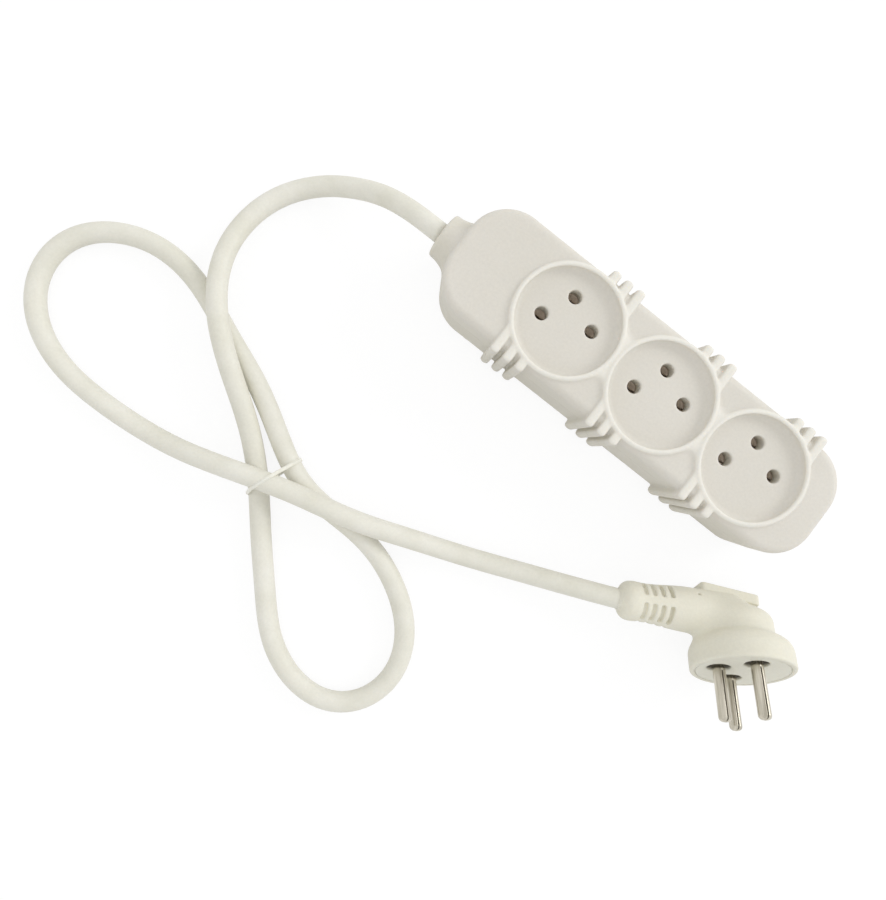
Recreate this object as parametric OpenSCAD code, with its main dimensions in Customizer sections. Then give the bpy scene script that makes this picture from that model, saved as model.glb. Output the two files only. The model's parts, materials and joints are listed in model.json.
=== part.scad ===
// Three-socket extension cord for round-pin plugs.
// The socket strip rests on z = 0 with its length along X and its cord leaving towards -X.
// The origin is the middle of the strip's footprint, the cord collar included.

/* [Strip] */
// Length of the housing without the cord collar
body_len = 163.5; // [155:0.5:200]
// Width of the housing at its parting line
body_w = 44; // [42:0.5:54]
// Height of the top field above the table
field_h = 32.5; // [31:0.5:40]
// Height of the parting line, which is also the height of the cord
parting_h = 19.5; // [18.5:0.5:22]
// Wall thickness of both shells
wall = 2.4; // [1.8:0.2:3]
// Corner radius in plan at the cord end
cord_corner_r = 16.5; // [12:0.5:19]
// Corner radius in plan at the far end
far_corner_r = 16; // [10:0.5:20]
// Rounding of the top edge
top_edge_r = 3; // [1:0.25:4.5]
// Rounding of the bottom edge
bottom_edge_r = 2.5; // [0.5:0.25:3.5]
// How far each side leans in from the parting line to the table
base_taper = 0.5; // [0:0.25:1]

/* [Sockets] */
// Number of sockets
socket_count = 3; // [1:1:3]
// Distance between neighbouring sockets
socket_pitch = 42; // [42:0.5:51]
// Place of the middle socket along the strip
socket_mid_x = 11; // [6:0.5:14]
// Inner radius of the raised rim
rim_inner_r = 19.3; // [18.8:0.1:19.6]
// Thickness of the rim
rim_t = 1.5; // [1:0.1:1.6]
// Height of the rim above the field
rim_h = 1.5; // [0.8:0.1:2.5]
// Depth of the dish floor below the rim's crest
dish_depth = 3.5; // [2.5:0.25:5]
// Radius of the fillet between the dish floor and the rim
dish_fillet_r = 2.8; // [1.5:0.1:3]
// Radius of the hollow where two rims run into each other
web_fillet_r = 3; // [2:0.25:4]
// Turn of the live holes about each socket's axis
hole_turn = 18.25; // [0:0.25:30]
// Clearance all round a pin in its hole
hole_gap = 0.25; // [0.15:0.05:0.45]
// Depth of the plastic guide around a pin hole
guide_depth = 6; // [4:0.5:7]

/* [Grip fins] */
// Fins on each side of each socket
fin_count = 3; // [2:1:4]
// Thickness of a fin
fin_t = 3; // [1.8:0.1:3.4]
// Distance between neighbouring fins
fin_pitch = 5.35; // [4.8:0.05:6]
// Offset of a group of fins from its socket's centre
fin_offset = 9.1; // [7:0.1:10]
// Reach of the fins beyond the side of the housing
fin_out = 3.5; // [2:0.25:5]
// Height of the fins' lower ends above the table
fin_foot_h = 2; // [1:0.5:6]
// Rounding of a fin's upper outer corner
fin_top_r = 2; // [1:0.5:5]

/* [Cord] */
// Diameter of the cord
cord_d = 7.8; // [7:0.1:8.2]
// Length of the moulded collar
collar_len = 7.5; // [6:0.5:12]
// Radius of the collar at its free end
collar_r = 8.7; // [7.5:0.1:9.5]
// Width of the wire tie around the bundle
tie_w = 2; // [2:0.2:4]

/* [Plug] */
// Diameter of a contact pin
pin_d = 4.5; // [4:0.1:4.8]
// Length of a contact pin outside the plug
pin_len = 19; // [17:0.5:20]
// Distance of every pin from the centre of the plug's face
pin_circle_r = 9.5; // [9:0.1:10]
// Width of the slot in a pin
pin_slot_w = 0.7; // [0.5:0.1:1]
// Radius of the plug's round face
plug_r = 18.8; // [18:0.1:19]
// Height of the plug's grip bar above its face
grip_h = 32; // [30:0.5:33]
// Radius of the cord sleeve at its root
sleeve_root_r = 8.6; // [8:0.1:9]
// Radius of the cord sleeve near its end
sleeve_end_r = 7.3; // [6.5:0.1:8]

/* [Hidden] */

$fn = 64;
hull_fn = 32;
clear = 0.2;

shell_white = [0.85, 0.84, 0.80];
cord_white = [0.88, 0.87, 0.81];
plug_white = [0.86, 0.85, 0.78];
insert_grey = [0.80, 0.79, 0.73];
tie_white = [0.92, 0.91, 0.87];
brass = [0.72, 0.60, 0.36];
nickel = [0.74, 0.72, 0.68];
steel = [0.62, 0.62, 0.62];
live_brown = [0.42, 0.25, 0.14];
neutral_blue = [0.20, 0.36, 0.62];
earth_green = [0.45, 0.58, 0.20];

// Strip
far_x = (body_len + collar_len) / 2;
cord_x = far_x - body_len;
collar_x = -far_x;
rim_top = field_h + rim_h;
dish_z = rim_top - dish_depth;
rim_outer_r = rim_inner_r + rim_t;
rim_crest_r = min(rim_t, rim_h) / 2;
rim_foot_r = rim_h / 2;
ceiling_z = field_h - wall;
dish_under_z = dish_z - wall;
cord_r = cord_d / 2;
socket_xs = [for (i = [0:socket_count - 1]) socket_mid_x + (i - (socket_count - 1) / 2) * socket_pitch];
collar_flare = 3.3;
collar_lip_r = 1;
fin_reach = body_w / 2 + fin_out - base_taper;
fin_top = rim_top - 0.3;
fin_bottom_r = 2.5;
collar_bore_r = cord_r + clear;

// Pin holes about a socket's centre: live, neutral and earth
hole_angles = [hole_turn, hole_turn + 180, hole_turn + 90];
function on_circle(angle) = [pin_circle_r * cos(angle), pin_circle_r * sin(angle)];
hole_d = pin_d + 2 * hole_gap;
guide_wall = 1.5;
hole_lip = 0.3;
guide_z = dish_z - guide_depth;

// Housing screws
screw_side_y = body_w / 2 - 5;
screw_far_y = body_w / 2 - 11;
screw_spots = [[cord_x + 21.5, screw_side_y], [cord_x + 21.5, -screw_side_y],
               [socket_mid_x, screw_side_y], [socket_mid_x, -screw_side_y],
               [far_x - 11, screw_far_y], [far_x - 11, -screw_far_y]];
screw_shaft_r = 1.4;
screw_head_r = 2.7;
screw_head_h = 2.2;
screw_seat_z = 6;
screw_tip_z = ceiling_z - 4;
screw_hole_r = screw_shaft_r + clear;
screw_pilot_r = screw_shaft_r + 0.05;
screw_recess_r = screw_head_r + 0.3;
base_post_r = screw_recess_r + 1.4;
cover_post_r = 3.2;

// Bus bars and contact sleeves
bar_z = 8;
bar_t = 1.5;
bar_w = 3;
bar_top = bar_z + bar_t;
bar_tail = 3.5;
sleeve_wall = 0.8;
contact_r = pin_d / 2 + 0.05;
contact_grip_r = pin_d / 2 - 0.75;
contact_top = guide_z - 0.3;
bar_start_x = socket_xs[0] - pin_circle_r - contact_r - sleeve_wall - 5;
contact_slot_w = 0.8;
contact_ring_h = 3;
rib_t = 1.6;
rib_half = 12.5;
rib_xs = [for (x = socket_xs) each [x - 14, x + 14]];

// Cord clamp inside the cord end
jacket_end_x = cord_x + 19.5;
clamp_x = cord_x + 10;
clamp_len = 7;
clamp_half = 12;
clamp_screw_y = 8.4;
clamp_screw_r = 1.3;
clamp_screw_head_r = 2.4;
clamp_gap = 0.6;
clamp_wall = 2;
clamp_lug_top = parting_h + 3.5;
core_r = 1.3;

// Plug, with X towards its cord, Z along its pins and its face at z = 0
plug_tilt = 32.7;
plug_turn = -60.8;
plug_roll = -92.9;
block_r = 13.2;
block_h = 22.6;
block_edge_r = 5;
grip_half = 4.6;
plug_drop = max(block_edge_r + (block_r - block_edge_r) * cos(plug_tilt) + (block_h - block_edge_r) * sin(plug_tilt),
                grip_h * sin(plug_tilt) + grip_half * cos(plug_tilt));
plug_at = [collar_x + 186.6, -58.9, plug_drop + 0.1];
pin_angles = [-90, 90, 0];
sleeve_z = -21;
sleeve_root_x = 20;
sleeve_end_x = 47;
bridge_r = plug_r - 2;
bridge_t = 7;
bridge_inset = 0.15;
pocket_r = 12.6;
pocket_depth = 13;
pin_recess_r = pin_d / 2 + 2.05;
pin_recess_depth = 2.4;
pin_shank_r = pin_d / 2 - 0.25;
pin_inner = 9;
pin_collar_r = pin_d / 2 + 0.75;
slot_turn = 90;
plug_core_r = 1.1;
plug_jacket_x = 14;

// Wire tie: where it crosses the bundle and how it stands
tie_at = [collar_x + 4.8, -106.5];
tie_turn = 70;
tie_t = 0.6;
tie_gap = 0.2;
// Each strand inside the tie: its place across the bundle, the height of its underside,
// and its half width there as a share of the cord's radius, as the strands cross the tie at a slant
tie_strands = [[-8.9, 1, 1.32], [5.6, 1.3, 1.05], [-5, 9.6, 1.46]];

// Route of the free cord: distance past the collar's end along X, place along Y, height of its underside
cord_route = [
    [-22, 0, 12], [-40, -5, 5], [-56, -17, 0.5], [-63, -36, 1.5], [-59, -57, 6.5],
    [-47, -74, 8.5], [-31, -87, 7], [-15, -99, 2.5], [1, -114, 1], [14, -130, 0.5],
    [28, -144.5, 0.2], [42.5, -159.5, 0.2], [66, -166, 0.2], [82, -157, 0.2], [86, -138, 0.2],
    [74, -119.5, 0.2], [48, -107, 0.2], [25.5, -106.5, 0.2], [11, -103.5, 1.5], [-7, -93.5, 0.5],
    [-23.5, -84, 0.2], [-44, -76.5, 0.2], [-61.5, -68.5, 0.2], [-85, -66.5, 0.2], [-106, -78, 0.2],
    [-112, -95.5, 0.2], [-103.5, -113.5, 0.2], [-82.5, -124, 0.2], [-58.5, -125, 0.2], [-41, -124, 0.5],
    [-21, -119, 6], [-3, -113, 9.6], [18, -107, 9.2], [38, -103, 8.2], [58, -96, 4.5],
    [77, -90, 1], [97, -82, 1.5], [116, -74, 5]];
cord_steps = 2;
cord_sides = 12;

// ---- Vectors and swept tubes ----

function unit(v) = v / norm(v);

function turn_y(p, a) = [p.x * cos(a) + p.z * sin(a), p.y, -p.x * sin(a) + p.z * cos(a)];

function turn_z(p, a) = [p.x * cos(a) - p.y * sin(a), p.x * sin(a) + p.y * cos(a), p.z];

// A point of the plug's own frame in the strip's frame
function plug_point(p) = plug_at + plug_dir(p);

function plug_dir(p) = turn_z(turn_y(turn_z(p, plug_roll), 90 - plug_tilt), plug_turn);

// A point on the smooth curve that runs through b and c, with a before and d after them
function curve_point(a, b, c, d, t) =
    (2 * b + (c - a) * t + (2 * a - 5 * b + 4 * c - d) * t ^ 2 + (3 * b - a - 3 * c + d) * t ^ 3) / 2;

// A smooth curve through all points; the first and last ones only set the end directions
function smooth_path(points, steps) = [
    for (i = [1:len(points) - 3], j = [0:steps - 1])
        curve_point(points[i - 1], points[i], points[i + 1], points[i + 2], j / steps),
    points[len(points) - 2]];

// Direction of a path at point i, with set directions at its ends
function path_dir(path, i, first, last) =
    i == 0 ? first : i == len(path) - 1 ? last : unit(path[i + 1] - path[i - 1]);

// A closed round tube along a path; its rings are square to the path and stand on the up vector
module swept_tube(path, r, sides, first, last, up = [0, 0, 1]) {
    rings = [for (i = [0:len(path) - 1])
        let (dir = path_dir(path, i, first, last),
             side = unit(cross(dir, up)),
             over = cross(side, dir))
        [for (k = [0:sides - 1]) path[i] + r * (side * cos(k * 360 / sides) + over * sin(k * 360 / sides))]];
    ring_count = len(rings);
    walls = [for (i = [0:ring_count - 2], k = [0:sides - 1])
        let (next = (k + 1) % sides, a = i * sides, b = (i + 1) * sides)
        each [[a + k, a + next, b + next], [a + k, b + next, b + k]]];
    start_cap = [for (k = [0:sides - 1]) sides - 1 - k];
    end_cap = [for (k = [0:sides - 1]) (ring_count - 1) * sides + k];
    polyhedron(points = [for (ring = rings) each ring], faces = concat(walls, [start_cap, end_cap]));
}

// ---- Shapes shared by the two shells ----

// The strip's outline in plan, drawn inwards by inset
module plan(inset = 0) {
    half = body_w / 2;
    for (side = [-1, 1]) {
        translate([cord_x + cord_corner_r, side * (half - cord_corner_r)]) circle(cord_corner_r - inset);
        translate([far_x - far_corner_r, side * (half - far_corner_r)]) circle(far_corner_r - inset);
    }
    polygon([[cord_x + cord_corner_r, inset - half], [far_x - far_corner_r, inset - half],
             [far_x - inset, far_corner_r - half], [far_x - inset, half - far_corner_r],
             [far_x - far_corner_r, half - inset], [cord_x + cord_corner_r, half - inset],
             [cord_x + inset, half - cord_corner_r], [cord_x + inset, cord_corner_r - half]]);
}

// A block with the strip's outline: a puck at each of its four corners, closed by a hull
module corner_hull(low_z, high_z, low_edge, high_edge, taper) {
    half = body_w / 2;
    hull()
        for (side = [-1, 1], corner = [[cord_x + cord_corner_r, cord_corner_r], [far_x - far_corner_r, far_corner_r]])
            translate([corner[0], side * (half - corner[1])])
                edged_puck(corner[1], low_z, high_z, low_edge, high_edge, taper);
}

// A round puck with rounded lower and upper edges, narrower below by its taper
module edged_puck(r, low_z, high_z, low_edge, high_edge, taper) {
    arc_steps = 7;
    rotate_extrude($fn = 48)
        polygon([
            [0, low_z],
            if (low_edge == 0) [r - taper, low_z],
            if (low_edge > 0) for (i = [0:arc_steps])
                let (a = -90 + 90 * i / arc_steps)
                [r - taper - low_edge + low_edge * cos(a), low_z + low_edge + low_edge * sin(a)],
            if (high_edge == 0) [r, high_z],
            if (high_edge > 0) for (i = [0:arc_steps])
                let (a = 90 * i / arc_steps)
                [r - high_edge + high_edge * cos(a), high_z - high_edge + high_edge * sin(a)],
            [0, high_z]]);
}

// One half of the collar around the cord: the upper half for side 1, the lower for side -1
module collar_half(side) {
    root_x = cord_x + wall;
    flare_steps = 6;
    intersection() {
        translate([root_x, 0, parting_h]) rotate([0, -90, 0])
            rotate_extrude()
                polygon([
                    [0, 0],
                    [collar_r + collar_flare, 0],
                    for (i = [0:flare_steps])
                        let (t = i / flare_steps)
                        [collar_r + collar_flare * (1 - t) ^ 2, (wall + collar_len - collar_lip_r) * t],
                    for (a = [30:30:90])
                        [collar_r - collar_lip_r * (1 - cos(a)), wall + collar_len - collar_lip_r * (1 - sin(a))],
                    [0, wall + collar_len]]);
        translate([collar_x - 1, -20, side > 0 ? parting_h : parting_h - 40]) cube([collar_len + wall + 2, 40, 40]);
    }
}

// The bore for the cord through the collar and the end wall
module collar_bore() {
    translate([collar_x - 1, 0, parting_h]) rotate([0, 90, 0]) cylinder(h = collar_len + wall + 4, r = collar_bore_r);
}

// A fin seen along the strip, from the middle of the strip outwards, with its outer corners rounded
module fin_profile() {
    top_x = fin_reach - fin_top_r;
    bottom_x = fin_reach - fin_bottom_r;
    translate([0, fin_foot_h]) square([min(top_x, bottom_x), fin_top - fin_foot_h]);
    translate([0, fin_foot_h + fin_bottom_r]) square([fin_reach, fin_top - fin_top_r - fin_foot_h - fin_bottom_r]);
    translate([0, fin_foot_h]) square([bottom_x, fin_bottom_r * 2]);
    translate([top_x, fin_top - fin_top_r]) circle(fin_top_r);
    translate([bottom_x, fin_foot_h + fin_bottom_r]) circle(fin_bottom_r);
}

// The fins on both sides of every socket, between two heights; they start inside the rim's wall
module fins(low_z, high_z) {
    difference() {
        for (x = socket_xs, side = [-1, 1], i = [0:fin_count - 1]) {
            dx = side * fin_offset + (i - (fin_count - 1) / 2) * fin_pitch;
            root_y = sqrt(rim_outer_r ^ 2 - (abs(dx) + fin_t / 2) ^ 2) - rim_t / 2;
            tip_y = fin_reach - fin_t / 2;
            translate([x + dx, 0, 0])
                intersection() {
                    translate([0, 0, low_z]) {
                        translate([-fin_t / 2, side > 0 ? root_y : -tip_y, 0])
                            cube([fin_t, tip_y - root_y, high_z - low_z]);
                        translate([0, side * tip_y, 0]) cylinder(h = high_z - low_z, d = fin_t, $fn = 24);
                    }
                    rotate([90, 0, side * 90]) linear_extrude(2 * fin_t, center = true) fin_profile();
                }
        }
        for (x = socket_xs)
            translate([x, 0, low_z - 1]) cylinder(h = high_z - low_z + 2, r = rim_inner_r + rim_t / 2, $fn = 96);
    }
}

// Places its children at each pin hole of every socket
module at_holes(which = [0:2]) {
    for (x = socket_xs, i = which)
        translate([x + on_circle(hole_angles[i]).x, on_circle(hole_angles[i]).y]) children();
}

module at_screws() {
    for (spot = screw_spots) translate(spot) children();
}

// ---- Top cover ----

// A socket's dish and its raised rim, revolved: a round crest, a filleted foot and a filleted floor
module dish() {
    arc_steps = 6;
    floor_r = rim_inner_r - dish_fillet_r;
    crest_z = rim_top - rim_crest_r;
    rotate_extrude($fn = 96)
        polygon([
            [0, dish_under_z],
            [rim_inner_r - 0.3, dish_under_z],
            [rim_outer_r, dish_under_z + 2],
            [rim_outer_r + rim_foot_r, field_h - top_edge_r],
            for (i = [0:arc_steps - 1])
                let (a = 90 * i / arc_steps)
                [rim_outer_r + rim_foot_r * (1 - sin(a)), field_h + rim_foot_r * (1 - cos(a))],
            for (i = [0:arc_steps])
                let (a = 90 * i / arc_steps)
                [rim_outer_r - rim_crest_r * (1 - cos(a)), crest_z + rim_crest_r * sin(a)],
            for (i = [1:arc_steps])
                let (a = 90 * i / arc_steps)
                [rim_inner_r + rim_crest_r * (1 - sin(a)), crest_z + rim_crest_r * cos(a)],
            for (i = [0:arc_steps])
                let (a = 90 * i / arc_steps)
                [floor_r + dish_fillet_r * cos(a), dish_z + dish_fillet_r * (1 - sin(a))],
            [0, dish_z]]);
}

// The raised web that joins two neighbouring rims, hollowed by a fillet on each side
module rim_web() {
    fillet_r = max(web_fillet_r, socket_pitch / 2 - rim_outer_r + 1.5);
    fillet_y = sqrt((rim_outer_r + fillet_r) ^ 2 - (socket_pitch / 2) ^ 2);
    tangent_x = socket_pitch / 2 * fillet_r / (rim_outer_r + fillet_r);
    tangent_y = fillet_y * rim_outer_r / (rim_outer_r + fillet_r);
    translate([0, 0, dish_z - 1])
        linear_extrude(rim_top - dish_z + 1 - 0.1)
            difference() {
                square([2 * tangent_x, 2 * tangent_y - 0.8], center = true);
                for (side = [-1, 1]) {
                    translate([0, side * fillet_y]) circle(fillet_r);
                    translate([side * socket_pitch / 2, 0]) circle(rim_inner_r + rim_t / 2, $fn = 96);
                }
            }
}

module cover_cavity() {
    difference() {
        translate([0, 0, parting_h - 1]) linear_extrude(ceiling_z - parting_h + 1) plan(wall);
        for (x = socket_xs)
            translate([x, 0, dish_under_z]) cylinder(h = wall * 2, r = rim_inner_r - 0.3, $fn = 96);
        at_holes() translate([0, 0, guide_z]) cylinder(h = guide_depth, d = hole_d + 2 * guide_wall);
        at_screws() translate([0, 0, parting_h - 2]) cylinder(h = field_h - parting_h, r = cover_post_r);
    }
}

module top_cover() {
    color(shell_white)
    difference() {
        union() {
            difference() {
                corner_hull(parting_h, field_h, 0, top_edge_r, 0);
                for (x = socket_xs)
                    translate([x, 0, dish_z - 1]) cylinder(h = field_h, r = rim_inner_r + rim_t / 2, $fn = 96);
            }
            for (x = socket_xs) translate([x, 0, 0]) dish();
            if (socket_count > 1)
                for (i = [0:socket_count - 2]) translate([(socket_xs[i] + socket_xs[i + 1]) / 2, 0, 0]) rim_web();
            fins(parting_h, fin_top);
            collar_half(1);
        }
        cover_cavity();
        collar_bore();
        at_holes() {
            translate([0, 0, guide_z - 1]) cylinder(h = guide_depth + 2, d = hole_d);
            translate([0, 0, dish_z - hole_lip])
                cylinder(h = hole_lip * 2, r1 = hole_d / 2, r2 = hole_d / 2 + hole_lip * 2);
        }
        at_screws() translate([0, 0, parting_h - 1]) cylinder(h = screw_tip_z - parting_h + 1.5, r = screw_pilot_r);
    }
}

// ---- Base shell ----

// Low walls across the base that carry the bus bars
module bar_ribs() {
    for (x = rib_xs) translate([x - rib_t / 2, -rib_half, wall - 0.5]) cube([rib_t, 2 * rib_half, bar_z - wall + 0.5]);
}

// The block under the cord clamp, with a half-round seat for the cord
module clamp_saddle() {
    difference() {
        translate([clamp_x, -clamp_half, wall - 0.5]) cube([clamp_len, 2 * clamp_half, parting_h - wall - clamp_gap]);
        translate([clamp_x - 1, 0, parting_h]) rotate([0, 90, 0]) cylinder(h = clamp_len + 2, r = cord_r + 0.05);
        for (side = [-1, 1])
            translate([clamp_x + clamp_len / 2, side * clamp_screw_y, 6]) cylinder(h = 20, r = clamp_screw_r + 0.05);
    }
}

module base_shell() {
    color(shell_white)
    difference() {
        union() {
            difference() {
                union() {
                    corner_hull(0, parting_h, bottom_edge_r, 0, base_taper);
                    fins(fin_foot_h, parting_h);
                    collar_half(-1);
                }
                translate([0, 0, wall]) linear_extrude(parting_h) plan(wall);
            }
            at_screws() translate([0, 0, wall - 0.5]) cylinder(h = parting_h - wall + 0.5, r = base_post_r);
            bar_ribs();
            clamp_saddle();
        }
        collar_bore();
        at_screws() {
            translate([0, 0, -1]) cylinder(h = screw_seat_z + 1, r = screw_recess_r);
            cylinder(h = parting_h + 1, r = screw_hole_r);
        }
    }
}

// ---- Fasteners ----

module housing_screws() {
    color(steel)
    at_screws()
        difference() {
            translate([0, 0, screw_seat_z - screw_head_h])
                rotate_extrude($fn = 32)
                    polygon([[0, 0], [screw_head_r - 0.8, 0], [screw_head_r, 0.8], [screw_head_r, screw_head_h],
                             [screw_shaft_r, screw_head_h], [screw_shaft_r, screw_tip_z - screw_seat_z],
                             [0, screw_tip_z - screw_seat_z + 1]]);
            cross_recess(screw_seat_z - screw_head_h);
        }
}

// A cross-shaped driver recess whose open side is at height z and looks down
module cross_recess(z) {
    for (a = [0, 90]) translate([0, 0, z + 0.5]) rotate([0, 0, a]) cube([3, 0.8, 1.2], center = true);
}

module clamp_screws() {
    color(steel)
    for (side = [-1, 1])
        translate([clamp_x + clamp_len / 2, side * clamp_screw_y, 0])
            difference() {
                translate([0, 0, 9])
                    rotate_extrude($fn = 32)
                        polygon([[0, 0], [clamp_screw_r, 1], [clamp_screw_r, clamp_lug_top - 9],
                                 [clamp_screw_head_r, clamp_lug_top - 9], [clamp_screw_head_r, clamp_lug_top - 8],
                                 [clamp_screw_head_r - 0.7, clamp_lug_top - 7.2], [0, clamp_lug_top - 7.2]]);
                for (a = [0, 90])
                    translate([0, 0, clamp_lug_top + 1.8]) rotate([0, 0, a]) cube([2.6, 0.7, 1.8], center = true);
            }
}

module cord_clamp() {
    color(insert_grey)
    difference() {
        union() {
            translate([clamp_x, -clamp_half, parting_h + clamp_gap])
                cube([clamp_len, 2 * clamp_half, clamp_lug_top - parting_h - clamp_gap]);
            translate([clamp_x, 0, parting_h]) rotate([0, 90, 0]) cylinder(h = clamp_len, r = cord_r + clamp_wall);
        }
        translate([clamp_x - 1, -clamp_half, parting_h + clamp_gap - 20]) cube([clamp_len + 2, 2 * clamp_half, 20]);
        translate([clamp_x - 1, 0, parting_h]) rotate([0, 90, 0]) cylinder(h = clamp_len + 2, r = cord_r + 0.05);
        for (side = [-1, 1])
            translate([clamp_x + clamp_len / 2, side * clamp_screw_y, parting_h])
                cylinder(h = 20, r = clamp_screw_r + clear);
    }
}

// ---- Conductors in the strip ----

module bus_bar(which) {
    y = on_circle(hole_angles[which]).y;
    end_x = socket_xs[socket_count - 1] + on_circle(hole_angles[which]).x + bar_tail;
    translate([bar_start_x, y - bar_w / 2, bar_z]) cube([end_x - bar_start_x, bar_w, bar_t]);
}

module line_bar() { color(brass) bus_bar(0); }

module neutral_bar() { color(brass) bus_bar(1); }

module earth_bar() { color(brass) bus_bar(2); }

// Round sleeves that stand on a bus bar, split from above and drawn in to a neck that grips a pin
module contact_sleeves(which) {
    outer_r = contact_r + sleeve_wall;
    at_holes([which])
        difference() {
            translate([0, 0, bar_top])
                rotate_extrude()
                    polygon([[0, 0], [outer_r, 0], [outer_r, contact_top - bar_top],
                             [contact_r, contact_top - bar_top], [contact_grip_r, contact_top - bar_top - 1],
                             [contact_grip_r, contact_top - bar_top - 2], [contact_r, contact_top - bar_top - 3],
                             [contact_r, 0.8], [0, 0.8]]);
            translate([-contact_r * 2, -contact_slot_w / 2, bar_top + contact_ring_h])
                cube([contact_r * 4, contact_slot_w, contact_top]);
        }
}

module line_contacts() { color(brass) contact_sleeves(0); }

module neutral_contacts() { color(brass) contact_sleeves(1); }

module earth_contacts() { color(brass) contact_sleeves(2); }

// An insulated core from the jacket's cut end down to the near end of its bus bar
module strip_lead(which, core_y, core_z) {
    bar_y = on_circle(hole_angles[which]).y;
    landing_x = bar_start_x + 2;
    start = [jacket_end_x, core_y, parting_h + core_z];
    finish = [landing_x, bar_y, bar_top];
    path = smooth_path([start - [2, 0, 0], start, start + [1.2, 0, 0],
                        start + [4.5, (bar_y - core_y) * 0.55, -0.4], finish + [-0.8, (core_y - bar_y) * 0.1, 5],
                        finish + [0, 0, 2], finish, finish - [0, 0, 2]], 3);
    swept_tube(path, core_r, 10, [1, 0, 0], [0, 0, -1], [0, 1, 0]);
}

module line_lead() { color(live_brown) strip_lead(0, 1.6, -0.9); }

module neutral_lead() { color(neutral_blue) strip_lead(1, -1.6, -0.9); }

module earth_lead() { color(earth_green) strip_lead(2, 0, 1.9); }

// The jacketed cord inside the collar and the clamp
module strip_cord_end() {
    color(cord_white)
    translate([collar_x, 0, parting_h]) rotate([0, 90, 0]) cylinder(h = jacket_end_x - collar_x, r = cord_r);
}

// ---- Free cord and its tie ----

module cord() {
    start = [collar_x, 0, parting_h];
    middle = [for (p = cord_route) [collar_x + p.x, p.y, p.z + cord_r]];
    finish = plug_point([sleeve_end_x, 0, sleeve_z]);
    finish_dir = plug_dir([-1, 0, 0]);
    handles = concat([start + [20, 0, 0], start], middle, [finish, finish + 20 * finish_dir]);
    color(cord_white)
    swept_tube(smooth_path(handles, cord_steps), cord_r, cord_sides, [-1, 0, 0], finish_dir);
}

// The outline around the bundled strands, at a distance from them
module bundle_outline(distance) {
    hull()
        for (strand = tie_strands)
            translate([strand[0], strand[1] + cord_r])
                scale([(strand[2] * cord_r + distance) / (cord_r + distance), 1]) circle(cord_r + distance, $fn = 48);
}

module cord_tie() {
    color(tie_white)
    translate(tie_at) rotate([90, 0, tie_turn])
        linear_extrude(tie_w, center = true)
            difference() {
                bundle_outline(tie_gap + tie_t);
                bundle_outline(tie_gap);
            }
}

// ---- Plug ----

// Draws its children in the plug's own frame
module in_plug() {
    translate(plug_at) rotate([0, 90 - plug_tilt, plug_turn]) rotate([0, 0, plug_roll]) children();
}

module at_pins(which = [0:2]) {
    for (i = which) translate(on_circle(pin_angles[i])) children();
}

// The plug's round head: a foot with a rounded shoulder, a small ledge, and a narrower rounded block
module plug_head() {
    edge_r = 0.8;
    rotate_extrude($fn = 96)
        polygon([[0, 0], [plug_r - edge_r, 0], [plug_r - 0.3 * edge_r, -0.3 * edge_r], [plug_r, -edge_r],
                 [plug_r, -5.5], [plug_r - 0.2, -6.8], [plug_r - 0.7, -8.1], [plug_r - 1.5, -9.5],
                 [plug_r - 2.4, -10.7], [plug_r - 3.3, -11.5], [plug_r - 4.2, -11.9], [block_r + 0.8, -12.3],
                 [block_r + 0.4, -13], [block_r + 0.2, -14.5],
                 for (a = [0:15:90])
                     [block_r - block_edge_r * (1 - cos(a)), block_edge_r * (1 - sin(a)) - block_h],
                 [0, -block_h]]);
}

// The round back that carries the sleeve's outline on under the grip bar
module plug_spine() {
    hull() {
        translate([3.2, 0, sleeve_z]) sphere(sleeve_root_r, $fn = hull_fn);
        translate([sleeve_root_x, 0, sleeve_z]) rotate([0, -90, 0])
            cylinder(h = 1, r = sleeve_root_r - 0.1, $fn = hull_fn);
        translate([15, 0, -14]) sphere(5, $fn = hull_fn);
    }
}

// The grip bar across the back: a flat plate with rounded corners that leans down away from the cord
module grip_bar() {
    bar_start = -9.3;
    bar_end = 14.8;
    corner_r = 2.4;
    lean = 5;
    translate([bar_end, 0, -grip_h]) rotate([0, lean, 0]) translate([-bar_end, 0, 0])
        hull()
            for (x = [bar_start + corner_r, bar_end - corner_r], side = [-1, 1])
                translate([x, side * (grip_half - corner_r), 0]) {
                    translate([0, 0, 0.6]) cylinder(h = 2.2, r = corner_r, $fn = hull_fn);
                    cylinder(h = 3.4, r = corner_r - 0.6, $fn = hull_fn);
                }
}

// The tapered sleeve around the cord, with a rounded bead at its end
module plug_sleeve() {
    span = sleeve_end_x - sleeve_root_x;
    translate([sleeve_root_x, 0, sleeve_z]) rotate([0, 90, 0])
        rotate_extrude()
            polygon([[0, -2], [sleeve_root_r, -2], [sleeve_root_r, 0], [sleeve_root_r - 0.7, span * 0.33],
                     [sleeve_end_r, span * 0.68], [sleeve_end_r + 0.2, span - 5.5], [sleeve_end_r + 0.1, span - 3.5],
                     [sleeve_end_r - 0.4, span - 1.8], [sleeve_end_r - 1.3, span - 0.6],
                     [sleeve_end_r - 2.3, span], [0, span]]);
}

// Rows of slots around the sleeve that let it bend, with solid ribs between them
module sleeve_slots() {
    slot_count = 4;
    slot_pitch = 3.4;
    slot_w = 1.5;
    slot_depth = 1.3;
    slot_span = 60;
    slot_start = 29;
    for (i = [0:slot_count - 1], mid = [-142, -57, 57, 142])
        translate([slot_start + i * slot_pitch - slot_w / 2, 0, sleeve_z]) rotate([0, 90, 0])
            rotate([0, 0, mid - slot_span / 2])
                rotate_extrude(angle = slot_span)
                    translate([sleeve_end_r - slot_depth + 0.3 * (slot_count - 1 - i) / slot_count, 0])
                        square([4, slot_w]);
}

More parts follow.
